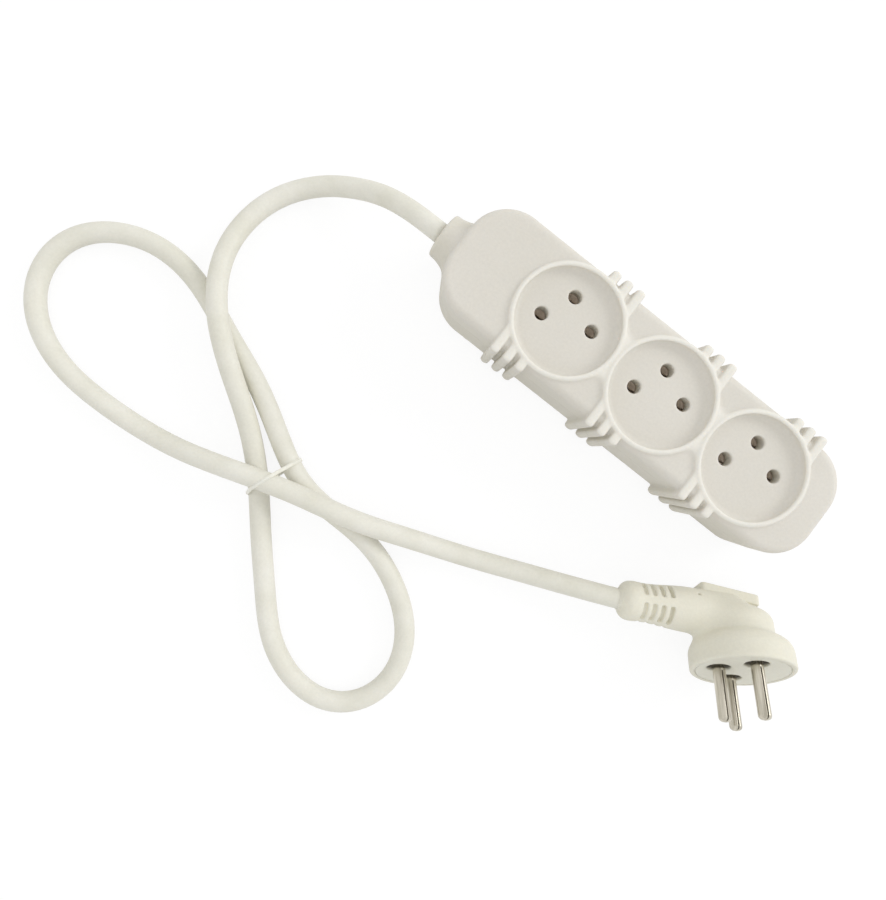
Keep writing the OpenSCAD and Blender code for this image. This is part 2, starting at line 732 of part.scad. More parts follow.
// The small round gate mark beside the grip bar
module gate_mark() {
    translate([18.2, 0, sleeve_z]) rotate([116.5, 0, 0]) translate([0, 0, sleeve_root_r - 1.5]) cylinder(h = 3, r = 0.6);
}

module plug_body() {
    color(plug_white)
    in_plug()
        difference() {
            union() {
                plug_head();
                plug_spine();
                grip_bar();
                plug_sleeve();
            }
            translate([0, 0, -bridge_t]) cylinder(h = bridge_t + 1, r = bridge_r + 0.05, $fn = 96);
            translate([0, 0, -pocket_depth]) cylinder(h = pocket_depth, r = pocket_r, $fn = 96);
            translate([-2, -5, -25]) cube([12.5, 10, 25 - pocket_depth + 1]);
            translate([10, -4, -25]) cube([plug_jacket_x - 10, 8, 25.1 - pocket_depth]);
            translate([plug_jacket_x - 1, 0, sleeve_z]) rotate([0, 90, 0])
                cylinder(h = sleeve_end_x, r = cord_r + 0.05);
            sleeve_slots();
            gate_mark();
        }
}

// The moulded disc that holds the three pins, with a round recess about each
module pin_bridge() {
    color(insert_grey)
    in_plug()
        difference() {
            translate([0, 0, -bridge_t]) cylinder(h = bridge_t - bridge_inset, r = bridge_r, $fn = 96);
            at_pins() {
                translate([0, 0, -pin_recess_depth - bridge_inset]) cylinder(h = 4, r = pin_recess_r);
                translate([0, 0, -bridge_t - 1]) cylinder(h = bridge_t + 2, r = pin_shank_r + 0.05);
                translate([0, 0, -4.55]) cylinder(h = 1.6, r = pin_collar_r + 0.05);
            }
        }
}

// A round contact pin with a domed tip and a lengthwise slot; its slimmer shank has a collar that locks it in the bridge
module contact_pin(which) {
    r = pin_d / 2;
    tip = 1.6;
    in_plug()
        at_pins([which])
            difference() {
                rotate_extrude()
                    polygon([[0, -pin_inner], [pin_shank_r, -pin_inner], [pin_shank_r, -4.5], [pin_collar_r, -4.5],
                             [pin_collar_r, -3], [pin_shank_r, -3], [pin_shank_r, 0], [r, 0], [r, pin_len - tip],
                             for (a = [15:15:90]) [r * cos(a), pin_len - tip + tip * sin(a)]]);
                rotate([0, 0, slot_turn]) translate([-pin_d, -pin_slot_w / 2, 1]) cube([2 * pin_d, pin_slot_w, pin_len]);
            }
}

module line_pin() { color(nickel) contact_pin(0); }

module neutral_pin() { color(nickel) contact_pin(1); }

module earth_pin() { color(nickel) contact_pin(2); }

// An insulated core from the cord's cut end to the inner end of its pin
module plug_core(which, core_y, core_z) {
    pin = on_circle(pin_angles[which]);
    start = [plug_jacket_x, core_y, sleeve_z + core_z];
    finish = [pin.x, pin.y, -pin_inner];
    handles = [start + [3, 0, 0], start,
               start + [-2.5, 0.4 * core_y, 1.2],
               [finish.x + 2.5, 0.25 * finish.y, -pocket_depth - 1.5],
               [finish.x + 0.5, 0.62 * finish.y, 1.8 - pocket_depth],
               finish - [0, 0, 1], finish, finish + [0, 0, 2]];
    path = [for (p = smooth_path(handles, 3)) plug_point(p)];
    swept_tube(path, plug_core_r, 10, plug_dir([-1, 0, 0]), plug_dir([0, 0, 1]), plug_dir([0, 1, 0]));
}

module plug_line_core() { color(live_brown) plug_core(0, -1.6, 0.9); }

module plug_neutral_core() { color(neutral_blue) plug_core(1, 1.6, 0.9); }

module plug_earth_core() { color(earth_green) plug_core(2, 0, -1.8); }

// The jacketed cord inside the plug's sleeve
module plug_cord_end() {
    color(cord_white)
    in_plug()
        translate([plug_jacket_x, 0, sleeve_z]) rotate([0, 90, 0])
            cylinder(h = sleeve_end_x - plug_jacket_x, r = cord_r);
}

top_cover();
base_shell();
housing_screws();
line_bar();
neutral_bar();
earth_bar();
line_contacts();
neutral_contacts();
earth_contacts();
cord_clamp();
clamp_screws();
line_lead();
neutral_lead();
earth_lead();
strip_cord_end();
cord();
cord_tie();
plug_body();
pin_bridge();
line_pin();
neutral_pin();
earth_pin();
plug_line_core();
plug_neutral_core();
plug_earth_core();
plug_cord_end();
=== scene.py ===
"""Looks of a three-socket extension cord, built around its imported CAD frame.

The strip's cover and base, the contact sleeves, the plug's over-mould, its pins and the pin bridge are
solids given by a formula each, because their parts grow out of each other with soft roots. The free
cord and its wire tie are profiles carried along a path. The other pieces are the frame's own nodes
with procedural materials. The scene is in metres, and the formulas of the solids are in millimetres.
"""
import json
import math
from functools import reduce

import bpy
import numpy as np
from mathutils import Matrix, Vector


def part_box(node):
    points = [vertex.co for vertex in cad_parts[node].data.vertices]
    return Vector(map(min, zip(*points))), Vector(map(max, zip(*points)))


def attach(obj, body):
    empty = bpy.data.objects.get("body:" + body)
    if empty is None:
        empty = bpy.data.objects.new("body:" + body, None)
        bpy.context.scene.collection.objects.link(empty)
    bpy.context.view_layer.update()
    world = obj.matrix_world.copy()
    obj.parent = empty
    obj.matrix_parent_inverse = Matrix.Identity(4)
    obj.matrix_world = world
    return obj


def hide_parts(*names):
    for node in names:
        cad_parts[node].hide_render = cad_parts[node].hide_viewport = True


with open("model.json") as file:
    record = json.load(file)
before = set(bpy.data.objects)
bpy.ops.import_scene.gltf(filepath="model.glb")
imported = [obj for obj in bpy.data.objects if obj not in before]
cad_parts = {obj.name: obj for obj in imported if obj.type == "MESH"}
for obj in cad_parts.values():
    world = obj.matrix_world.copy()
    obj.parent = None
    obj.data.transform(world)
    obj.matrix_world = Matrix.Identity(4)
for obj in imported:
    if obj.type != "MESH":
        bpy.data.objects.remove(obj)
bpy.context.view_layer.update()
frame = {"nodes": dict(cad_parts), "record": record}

# ---- Sizes shared with the frame ----

MM = 0.001
CORD_R_MM = 3.9
CORD_R = CORD_R_MM * MM
COLLAR_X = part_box("top_cover")[0].x
PARTING_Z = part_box("base_shell")[1].z

# Distance past the collar's end along X, place along Y, height of the cord's underside
CORD_ROUTE = np.array([
    [-22, 0, 12], [-40, -5, 5], [-56, -17, 0.5], [-63, -36, 1.5], [-59, -57, 6.5],
    [-47, -74, 8.5], [-31, -87, 7], [-15, -99, 2.5], [1, -114, 1], [14, -130, 0.5],
    [28, -144.5, 0.2], [42.5, -159.5, 0.2], [66, -166, 0.2], [82, -157, 0.2], [86, -138, 0.2],
    [74, -119.5, 0.2], [48, -107, 0.2], [25.5, -106.5, 0.2], [11, -103.5, 1.5], [-7, -93.5, 0.5],
    [-23.5, -84, 0.2], [-44, -76.5, 0.2], [-61.5, -68.5, 0.2], [-85, -66.5, 0.2], [-106, -78, 0.2],
    [-112, -95.5, 0.2], [-103.5, -113.5, 0.2], [-82.5, -124, 0.2], [-58.5, -125, 0.2], [-41, -124, 0.5],
    [-21, -119, 6], [-3, -113, 9.6], [18, -107, 9.2], [38, -103, 8.2], [58, -96, 4.5],
    [77, -90, 1], [97, -82, 1.5], [116, -74, 5]]) * MM

# The plug's own frame: X towards its cord, Z along its pins, origin in the middle of its face
PLUG_TILT, PLUG_TURN, PLUG_ROLL = 32.7, -60.8, -92.9
PLUG_AT = np.array([COLLAR_X + 186.6 * MM, -58.9 * MM, 21.5086 * MM])


def turn_y(degrees):
    """Rotation matrix about Y."""
    a = math.radians(degrees)
    return np.array([[math.cos(a), 0, math.sin(a)], [0, 1, 0], [-math.sin(a), 0, math.cos(a)]])


def turn_z(degrees):
    """Rotation matrix about Z."""
    a = math.radians(degrees)
    return np.array([[math.cos(a), -math.sin(a), 0], [math.sin(a), math.cos(a), 0], [0, 0, 1]])


PLUG_AXES = turn_z(PLUG_TURN) @ turn_y(90 - PLUG_TILT) @ turn_z(PLUG_ROLL)


def plug_points(points):
    """Points of the plug's own frame, in the part's frame."""
    return PLUG_AT + np.asarray(points, float) @ PLUG_AXES.T


# ---- Camera ----

CAMERA_AT = np.array([-49.85, -72.09, 272.34]) * MM
FOCAL_PX, LONG_SIDE_PX, SENSOR_MM = 695.1, 900.0, 36.0
CLIP_START, CLIP_END = 0.01, 10
# Turn in plan in degrees, and a small rotation after it as a vector in radians
VIEW_TURN = 38.85
VIEW_TRIM = (-0.00121, -0.0632, -0.01947)


def view_axes():
    """The view's right, its down and its direction, as rows: straight down, turned in plan, then
    trimmed by a small rotation."""
    a = math.radians(VIEW_TURN)
    right = np.array([math.cos(a), math.sin(a), 0])
    down = np.array([math.sin(a), -math.cos(a), 0])
    rows = np.array([right, down, np.cross(right, down)])
    trim = np.array(Matrix.Rotation(np.linalg.norm(VIEW_TRIM), 3, Vector(VIEW_TRIM)))
    return trim @ rows


def make_camera():
    """The camera above the part, with its focal length given in pixels of the long side."""
    right, down, forward = view_axes()
    data = bpy.data.cameras.new("camera")
    data.sensor_width = SENSOR_MM
    data.lens = FOCAL_PX / LONG_SIDE_PX * SENSOR_MM
    data.clip_start, data.clip_end = CLIP_START, CLIP_END
    camera = bpy.data.objects.new("camera", data)
    bpy.context.scene.collection.objects.link(camera)
    columns = np.array([right, -down, -forward]).T
    camera.matrix_world = Matrix.Translation(Vector(CAMERA_AT)) @ Matrix(columns.tolist()).to_4x4()
    bpy.context.scene.camera = camera


# ---- Mesh helpers ----

def new_piece(name, points, faces, slot, stands_for, body="root"):
    """A smooth-shaded piece from points in metres and lists of corner numbers. It rides on a body,
    stands in for a CAD node and has the material of a slot."""
    mesh = bpy.data.meshes.new(name)
    mesh.from_pydata(points.tolist(), [], faces)
    mesh.update()
    mesh.polygons.foreach_set("use_smooth", [True] * len(mesh.polygons))
    mesh.materials.append(MATERIALS[slot])
    piece = bpy.data.objects.new(name, mesh)
    bpy.context.scene.collection.objects.link(piece)
    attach(piece, body)
    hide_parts(stands_for)
    return piece


def ring_faces(rings, count, close_rings=False):
    """Quads between neighbouring rings of count points each. close_rings joins the last ring to the
    first."""
    r = np.arange(rings if close_rings else rings - 1)
    r, c = [a.ravel() for a in np.meshgrid(r, np.arange(count), indexing="ij")]
    r2, c2 = (r + 1) % rings, (c + 1) % count
    return np.stack([r * count + c, r * count + c2, r2 * count + c2, r2 * count + c], 1).tolist()


def smooth_path(handles, steps):
    """A smooth curve through all points but the first and last, which only set its end directions.
    Between two points it is the cubic that leaves each along the line between its neighbours."""
    t = np.linspace(0, 1, steps, endpoint=False)[:, None]
    out = []
    for a, b, c, d in zip(handles, handles[1:], handles[2:], handles[3:]):
        square, cube = 2 * a - 5 * b + 4 * c - d, 3 * b - a - 3 * c + d
        out.append((2 * b + (c - a) * t + square * t ** 2 + cube * t ** 3) / 2)
    return np.vstack(out + [handles[-2:-1]])


def unit(v):
    """Vectors scaled to a length of one."""
    return v / np.linalg.norm(v, axis=-1, keepdims=True)


def path_frames(path, first, last):
    """Unit side and over vectors at each point of a path that never stands upright: both are square to
    it, and the side is level. first and last are its directions at its ends."""
    direction = np.vstack([first, unit(path[2:] - path[:-2]), last])
    side = unit(np.cross(direction, [0, 0, 1]))
    return side, np.cross(side, direction)


# ---- Materials ----
# Scales of noise are per metre, so at 1000 its patches are about a millimetre across.

MOTTLE_SCALE = 950
# How many times as long as wide drawn marks are
DRAWN_OUT = 14


def new_material(name):
    """A material with its nodes, its links and its shader."""
    material = bpy.data.materials.new(name)
    material.use_nodes = True
    nodes = material.node_tree.nodes
    return material, nodes, material.node_tree.links, nodes["Principled BSDF"]


def noise_field(nodes, links, scale, detail, roughness=0.5, axes=None):
    """Noise in object coordinates. With axes, the columns of a turn, it is drawn out along the third
    one."""
    coords = nodes.new("ShaderNodeTexCoord")
    noise = nodes.new("ShaderNodeTexNoise")
    noise.inputs["Scale"].default_value = scale
    noise.inputs["Detail"].default_value = detail
    noise.inputs["Roughness"].default_value = roughness
    source = coords.outputs["Object"]
    if axes is not None:
        mapping = nodes.new("ShaderNodeMapping")
        mapping.vector_type = "TEXTURE"
        mapping.inputs["Rotation"].default_value = Matrix(axes.tolist()).to_euler()
        mapping.inputs["Scale"].default_value = (1, 1, DRAWN_OUT)
        links.new(source, mapping.inputs["Vector"])
        source = mapping.outputs["Vector"]
    links.new(source, noise.inputs["Vector"])
    return noise.outputs["Fac"]


def ramp_between(nodes, links, factor, low, high, start=0.3, end=0.7):
    """A colour that goes from low to high as the factor goes from start to end."""
    ramp = nodes.new("ShaderNodeValToRGB")
    ramp.color_ramp.elements[0].position = start
    ramp.color_ramp.elements[1].position = end
    ramp.color_ramp.elements[0].color = (*low, 1)
    ramp.color_ramp.elements[1].color = (*high, 1)
    links.new(factor, ramp.inputs["Fac"])
    return ramp.outputs["Color"]


def map_range(nodes, links, factor, low, high):
    """A number that goes from low to high as the factor goes from 0 to 1."""
    node = nodes.new("ShaderNodeMapRange")
    node.inputs["To Min"].default_value = low
    node.inputs["To Max"].default_value = high
    links.new(factor, node.inputs["Value"])
    return node.outputs["Result"]


def smooth_step(nodes, links, value, none_at, full_at):
    """A number that goes from 0 to 1 along a smooth step as the value goes from none_at to full_at."""
    node = nodes.new("ShaderNodeMapRange")
    node.interpolation_type = "SMOOTHSTEP"
    node.inputs["From Min"].default_value = none_at
    node.inputs["From Max"].default_value = full_at
    links.new(value, node.inputs["Value"])
    return node.outputs["Result"]


def blend_colours(nodes, links, factor, first, second, mode="MIX"):
    """Mixes two colours by a factor, each of them a socket or a fixed value."""
    mix = nodes.new("ShaderNodeMix")
    mix.data_type = "RGBA"
    mix.blend_type = mode
    for name, value in (("Factor", factor), ("A", first), ("B", second)):
        if isinstance(value, bpy.types.NodeSocket):
            links.new(value, mix.inputs[name])
        else:
            mix.inputs[name].default_value = value if name == "Factor" else (*value, 1)
    return mix.outputs["Result"]


def add_bump(nodes, links, shader, height, strength, distance, below=None):
    """Bump of a height pattern on the shader, laid over another bump's normal where below is given."""
    bump = nodes.new("ShaderNodeBump")
    bump.inputs["Strength"].default_value = strength
    bump.inputs["Distance"].default_value = distance
    links.new(height, bump.inputs["Height"])
    if below is not None:
        links.new(below, bump.inputs["Normal"])
    links.new(bump.outputs["Normal"], shader.inputs["Normal"])
    return bump.outputs["Normal"]


def add_mottle(nodes, links, shader, colour, least, most):
    """Colours the shader, with a fine mottle laid over the colour as shares of its brightness."""
    patches = noise_field(nodes, links, MOTTLE_SCALE, detail=3, roughness=0.65)
    mottle = ramp_between(nodes, links, patches, (least,) * 3, (most,) * 3, start=0.25, end=0.75)
    mottled = blend_colours(nodes, links, 1.0, colour, mottle, "MULTIPLY")
    links.new(mottled, shader.inputs["Base Color"])


def add_uneven_gloss(nodes, links, shader, pattern, low, high):
    """Roughness of the shader between two values, as a pattern goes from 0 to 1."""
    links.new(map_range(nodes, links, pattern, low, high), shader.inputs["Roughness"])


def let_light_in(shader, weight, reach, scale):
    """Light that enters the surface: its weight, and how far red, green and blue reach at a scale of
    one."""
    shader.inputs["Subsurface Weight"].default_value = weight
    shader.inputs["Subsurface Radius"].default_value = reach
    shader.inputs["Subsurface Scale"].default_value = scale


def srgb(r, g, b):
    """Linear colour from display values of 0 to 255."""
    return tuple(c / 255 / 12.92 if c <= 10 else ((c / 255 + 0.055) / 1.055) ** 2.4 for c in (r, g, b))


# Painted light on the cover by height: shade painted darker on its walls and a highlight painted
# # lighter on its raised crests. Each: the colour, the height where it is absent and where it is full
WALL_PAINTED_SHADE = (srgb(224, 220, 208), 30 * MM, 27 * MM)
CREST_PAINTED_HIGHLIGHT = (srgb(239, 236, 227), 32.8 * MM, 33.6 * MM)


def moulded_plastic(name, light, dark, roughness=0.52, grain=0.25, painted_light_by_height=False):
    """Moulded plastic: broad colour drift, a fine mottle, spark-eroded grain in the bump and uneven
    gloss. With painted light by height, the walls get a little painted shade and the raised rims and
    fins a little painted highlight."""
    material, nodes, links, shader = new_material(name)
    colour = ramp_between(nodes, links, noise_field(nodes, links, 22, detail=3), dark, light)
    if painted_light_by_height:
        coords = nodes.new("ShaderNodeTexCoord")
        axes = nodes.new("ShaderNodeSeparateXYZ")
        links.new(coords.outputs["Object"], axes.inputs["Vector"])
        # Painted shade darkens the walls and a painted highlight lightens the crests, by height
        for tone, none_at, full_at in (WALL_PAINTED_SHADE, CREST_PAINTED_HIGHLIGHT):
            height = smooth_step(nodes, links, axes.outputs["Z"], none_at, full_at)
            colour = blend_colours(nodes, links, height, colour, tone)
    add_mottle(nodes, links, shader, colour, 0.935, 1.005)
    gloss = noise_field(nodes, links, 160, detail=4, roughness=0.6)
    add_uneven_gloss(nodes, links, shader, gloss, roughness - 0.07, roughness + 0.08)
    waves = noise_field(nodes, links, 240, detail=2)
    ripple = add_bump(nodes, links, shader, waves, strength=0.12, distance=0.25 * MM)
    grains = noise_field(nodes, links, 2600, detail=2)
    add_bump(nodes, links, shader, grains, strength=grain, distance=0.04 * MM, below=ripple)
    shader.inputs["Specular IOR Level"].default_value = 0.3
    let_light_in(shader, 0.22, (4 * MM, 3.6 * MM, 3 * MM), 0.6)
    return material


# Painted shade in the pin recesses: colour, and the depths below the face where it is absent and full
RECESS_PAINTED_SHADE, SHADE_NONE_AT, SHADE_FULL_AT = srgb(132, 128, 120), 0.5 * MM, 1.6 * MM


def recessed_plastic(name):
    """Moulded plastic of the pin bridge: cream on its face, and grey with painted shade in the
    recesses below it. The depth is measured along the plug's axis from its face."""
    material = moulded_plastic(name, srgb(236, 234, 219), srgb(230, 228, 213), roughness=0.5, grain=0.5)
    nodes, links = material.node_tree.nodes, material.node_tree.links
    axis = PLUG_AXES @ [0, 0, 1]
    face = float(PLUG_AT @ axis)
    coords = nodes.new("ShaderNodeTexCoord")
    along = nodes.new("ShaderNodeVectorMath")
    along.operation = "DOT_PRODUCT"
    along.inputs[1].default_value = axis
    links.new(coords.outputs["Object"], along.inputs[0])
    # Painted shade: the bridge turns grey with depth below its face
    depth = smooth_step(nodes, links, along.outputs["Value"], face - SHADE_NONE_AT, face - SHADE_FULL_AT)
    base_colour = nodes["Principled BSDF"].inputs["Base Color"]
    face_colour = base_colour.links[0].from_socket
    links.new(blend_colours(nodes, links, depth, face_colour, RECESS_PAINTED_SHADE), base_colour)
    return material


def cord_jacket(name):
    """Soft extruded jacket: a slow drift of colour, a powdery mottle, a slight ripple and a low
    sheen."""
    material, nodes, links, shader = new_material(name)
    drift = noise_field(nodes, links, 60, detail=4, roughness=0.55)
    colour = ramp_between(nodes, links, drift, srgb(228, 226, 212), srgb(240, 238, 228), end=0.72)
    add_mottle(nodes, links, shader, colour, 0.93, 1.0)
    add_uneven_gloss(nodes, links, shader, noise_field(nodes, links, 300, detail=3), 0.45, 0.62)
    waves = noise_field(nodes, links, 130, detail=2)
    ripple = add_bump(nodes, links, shader, waves, strength=0.15, distance=0.4 * MM)
    grains = noise_field(nodes, links, 2400, detail=2)
    add_bump(nodes, links, shader, grains, strength=0.2, distance=0.04 * MM, below=ripple)
    let_light_in(shader, 0.05, (3 * MM, 2.5 * MM, 2 * MM), 0.5)
    return material


def metal(name, light, dark, roughness, axes=None, metallic=1.0):
    """Plated or rolled metal: fine lines in the roughness and bump, and a faint tarnish in the colour.
    With axes, both are drawn out along the third axis. A dull oxide skin has a low metallic value."""
    material, nodes, links, shader = new_material(name)
    shader.inputs["Metallic"].default_value = metallic
    tarnish_scale = 180 if axes is None else 700
    tarnish = noise_field(nodes, links, tarnish_scale, detail=4, roughness=0.6, axes=axes)
    links.new(ramp_between(nodes, links, tarnish, dark, light), shader.inputs["Base Color"])
    lines = noise_field(nodes, links, 900, detail=3, roughness=0.6, axes=axes)
    add_uneven_gloss(nodes, links, shader, lines, roughness * 0.7, roughness * 1.4)
    add_bump(nodes, links, shader, lines, strength=0.15, distance=0.03 * MM)
    return material


def insulation(name, light, dark):
    """Insulation of a core: an even colour with a slight drift, some gloss and a fine grain."""
    material, nodes, links, shader = new_material(name)
    drift = noise_field(nodes, links, 90, detail=3)
    links.new(ramp_between(nodes, links, drift, dark, light), shader.inputs["Base Color"])
    add_uneven_gloss(nodes, links, shader, noise_field(nodes, links, 400, detail=2), 0.3, 0.45)
    grains = noise_field(nodes, links, 1500, detail=2)
    add_bump(nodes, links, shader, grains, strength=0.1, distance=0.04 * MM)
    return material


MATERIALS = {
    "cover_plastic": moulded_plastic(
        "cover_plastic", srgb(229, 225, 216), srgb(224, 220, 210), painted_light_by_height=True),
    # The base is a darker copy of the cover's plastic: painted shade for its walls below the parting
    # line
    "base_plastic": moulded_plastic("base_plastic", srgb(224, 220, 208), srgb(219, 215, 202)),
    "plug_plastic": moulded_plastic(
        "plug_plastic", srgb(236, 233, 218), srgb(231, 228, 212), roughness=0.55, grain=0.3),
    "insert_plastic": recessed_plastic("insert_plastic"),
    "cord_jacket": cord_jacket("cord_jacket"),
    "tie_plastic": moulded_plastic(
        "tie_plastic", srgb(247, 245, 233), srgb(242, 240, 226), roughness=0.34, grain=0.15),
    "pin_nickel": metal("pin_nickel", (0.70, 0.66, 0.56), (0.40, 0.37, 0.30), 0.3, axes=PLUG_AXES),
    "bar_brass": metal("bar_brass", (0.70, 0.52, 0.25), (0.48, 0.34, 0.15), 0.35),
    "contact_brass": metal(
        "contact_brass", (0.78, 0.67, 0.57), (0.64, 0.54, 0.45), 0.6, metallic=0.15),
    "screw_steel": metal("screw_steel", (0.62, 0.62, 0.62), (0.45, 0.45, 0.46), 0.32),
    "line_core": insulation("line_core", (0.16, 0.06, 0.025), (0.11, 0.04, 0.018)),
    "neutral_core": insulation("neutral_core", (0.03, 0.12, 0.38), (0.02, 0.08, 0.28)),
    "earth_core": insulation("earth_core", (0.18, 0.36, 0.05), (0.12, 0.26, 0.035)),
}


def dress_frame():
    """Gives each CAD node the material of its slot."""
    slots = {part["node"]: part["material_slot"] for part in frame["record"]["subparts"]}
    for name, node in frame["nodes"].items():
        node.data.materials.clear()
        node.data.materials.append(MATERIALS[slots[name]])


# ---- Solids given by a formula ----
# Such a solid is a function of x, y and z in millimetres: below zero inside, above zero outside,
# and near its surface about the distance to it.

def joined(a, b, r):
    """Union with a soft inner corner: the lower of the two, less h * h * r / 4, where h falls from 1
    where they are equal to 0 where they are r apart."""
    h = np.maximum(r - np.abs(a - b), 0) / r
    return np.minimum(a, b) - h * h * r / 4


def common(a, b, r=0.0):
    """Intersection with its edge rounded to radius r: the distance to a round edge that lies r inside
    both."""
    return np.minimum(np.maximum(a, b), -r) + np.hypot(np.maximum(a + r, 0), np.maximum(b + r, 0))


def union(parts):
    """Union with a sharp inner corner: the lowest of the parts."""
    return reduce(np.minimum, parts)


def overlap(parts):
    """Intersection with a sharp edge: the highest of the parts."""
    return reduce(np.maximum, parts)


def between(value, low, high):
    """Slab where a coordinate lies between two values."""
    return np.maximum(low - value, value - high)


def round_box(a, b, r):
    """Rectangle with corners rounded to radius r: the distance to a rectangle that is r smaller all
    round, less r, where a and b are the distances past the smaller one's sides."""
    return np.minimum(np.maximum(a, b), 0) + np.hypot(np.maximum(a, 0), np.maximum(b, 0)) - r


# The slope's half step, then the longest move, the least squared slope and the number of moves
SLOPE_STEP, LONGEST_MOVE, LEAST_SLOPE, MOVES = 0.02, 0.3, 0.2, 3
OFF_ROUND = 0.013


def net_surface(solid, lines):
    """The surface where a solid's formula is zero, as points and outward quads.

    The formula is read where three sets of grid lines cross. Every cell that the surface passes
    through gets one point, the mean of the places where it cuts the cell's edges, which then moves
    along the formula's slope onto the surface. Every cut edge gives the quad between the points of
    the four cells around it."""
    value = solid(*np.meshgrid(*lines, indexing="ij", sparse=True))
    size = np.array(value.shape)
    cells, cuts = [], []
    for axis in range(3):
        low, high = np.delete(value, -1, axis), np.delete(value, 0, axis)
        across = [(axis + 1) % 3, (axis + 2) % 3]
        at = np.argwhere((low < 0) != (high < 0))
        at = at[((at[:, across] > 0) & (at[:, across] < size[across] - 1)).all(1)]
        a, b = low[tuple(at.T)], high[tuple(at.T)]
        cut = np.stack([lines[k][at[:, k]] for k in range(3)], 1)
        cut[:, axis] += (lines[axis][at[:, axis] + 1] - cut[:, axis]) * a / (a - b)
        steps = np.zeros((4, 3), int)
        steps[:, across] = [[0, 0], [-1, 0], [-1, -1], [0, -1]]
        ring = at[:, None] + np.where((a < 0)[:, None, None], steps, steps[::-1])
        cells.append(np.ravel_multi_index(ring.reshape(-1, 3).T, size - 1))
        cuts.append(np.repeat(cut, 4, 0))
    quads = np.unique(np.concatenate(cells), return_inverse=True)[1]
    cuts = np.vstack(cuts)
    share = np.bincount(quads)
    points = np.stack([np.bincount(quads, cuts[:, k]) / share for k in range(3)], 1)
    for _ in range(MOVES):
        rise = [solid(*(points + n).T) - solid(*(points - n).T) for n in np.eye(3) * SLOPE_STEP]
        slope = np.stack(rise, 1) / (2 * SLOPE_STEP)
        move = solid(*points.T) / np.maximum((slope ** 2).sum(1), LEAST_SLOPE)
        points = points - np.clip(move, -LONGEST_MOVE, LONGEST_MOVE)[:, None] * slope
    return points, quads.reshape(-1, 4)


def grid_lines(*runs):
    """Grid lines in runs of (start, end, step), a little off round values so that no flat face lies on
    one."""
    return np.unique(np.concatenate([np.arange(a, b, c) for a, b, c in runs])) + OFF_ROUND


def solid_piece(name, solid, lines, slot, stands_for, place=np.asarray):
    """A piece from a solid's formula. place puts points in metres into the part's frame."""
    points, quads = net_surface(solid, lines)
    return new_piece(name, place(points * MM), quads.tolist(), slot, stands_for)


# ---- Strip: cover and base ----

# Along X: the end wall at the cord, and the middle of the outline, with its half sizes and corners
CORD_END, MID_X, HALF_LEN, HALF_W = -78.0, 3.75, 81.75, 22.0
CORD_CORNER_R, FAR_CORNER_R = 16.5, 16.0
# Heights of the top field and of the parting line, the walls' thickness, the edge of the room inside
FIELD, PARTING, WALL, ROOM_EDGE = 32.5, 19.5, 2.4, 0.8
# Sockets: the middle one's place along X, their pitch, and their numbers from the middle
MID_SOCKET, PITCH, SOCKETS = 11.0, 42.0, (-1, 0, 1)
# Pin holes of a socket: their turns about its axis and the radius of their circle
HOLE_TURNS, HOLE_CIRCLE = np.radians([18.25, 198.25, 108.25]), 9.5
# Housing screws: place along the strip, and distance to either side of its middle line
SCREWS = ((-56.5, 17.0), (11.0, 17.0), (74.5, 11.0))


def strip_plan(x, y):
    """Distance to the strip's outline in plan, a rectangle with rounded corners, larger ones at the
    cord end."""
    r = np.where(x < MID_X, CORD_CORNER_R, FAR_CORNER_R)
    return round_box(np.abs(x - MID_X) - (HALF_LEN - r), np.abs(y) - (HALF_W - r), r)


def from_socket(x):
    """Distance along the strip from the nearest socket's axis."""
    return x - MID_SOCKET - PITCH * np.clip(np.round((x - MID_SOCKET) / PITCH), -1, 1)


def pin_holes(x, y):
    """Distance from the nearest pin hole's axis."""
    u, r = from_socket(x), HOLE_CIRCLE
    return union([np.hypot(u - r * np.cos(turn), y - r * np.sin(turn)) for turn in HOLE_TURNS])


def screw_axes(x, y):
    """Distance from the nearest housing screw's axis."""
    return union([np.hypot(x - sx, np.abs(y) - sy) for sx, sy in SCREWS])


# Rims: inner radius and crest, then the plateau, and the soft roots of the web and of the crest
RIM_IN, CREST_R, RIM_TOP, RIM_FOOT = 19.3, 0.75, 34.0, 25
PLATEAU_R, PLATEAU_OUT, PLATEAU_TOP, PLATEAU_EDGE = 20.8, 0.35, 33.5, 1.0
WEB_ROOT, CREST_ROOT = 7, 0.7


def rims(x, y, z):
    """Raised rims: a low plateau over three discs that run into each other, with a round crest
    on a ring about each socket."""
    discs = [np.hypot(x - MID_SOCKET - k * PITCH, y) - PLATEAU_R for k in SOCKETS]
    webbed = joined(joined(discs[0], discs[1], WEB_ROOT), discs[2], WEB_ROOT)
    plateau = common(webbed - PLATEAU_OUT, z - PLATEAU_TOP, PLATEAU_EDGE)
    ring = np.hypot(from_socket(x), y) - (RIM_IN + CREST_R)
    crest = np.hypot(ring, np.maximum(z - (RIM_TOP - CREST_R), 0)) - CREST_R
    return np.maximum(joined(plateau, crest, CREST_ROOT), RIM_FOOT - z)


# Fins: places along the strip from a socket's axis, half thickness and what is added to it before the
# edges are rounded, then the outline with its corners, and how far past the crest's ring they start
FIN_SPOTS, FIN_HALF, FIN_ADDED, FIN_EDGE = (3.75, 9.1, 14.45), 1.5, 0.27, 1.2
FIN_REACH, FIN_TIP, FIN_TOP, FIN_TOP_CORNER, FIN_FOOT, FIN_FOOT_CORNER = 25.0, 0.1, 33.7, 1.4, 2.0, 2.5
FIN_START, FIN_START_EDGE = 0.3, 0.3


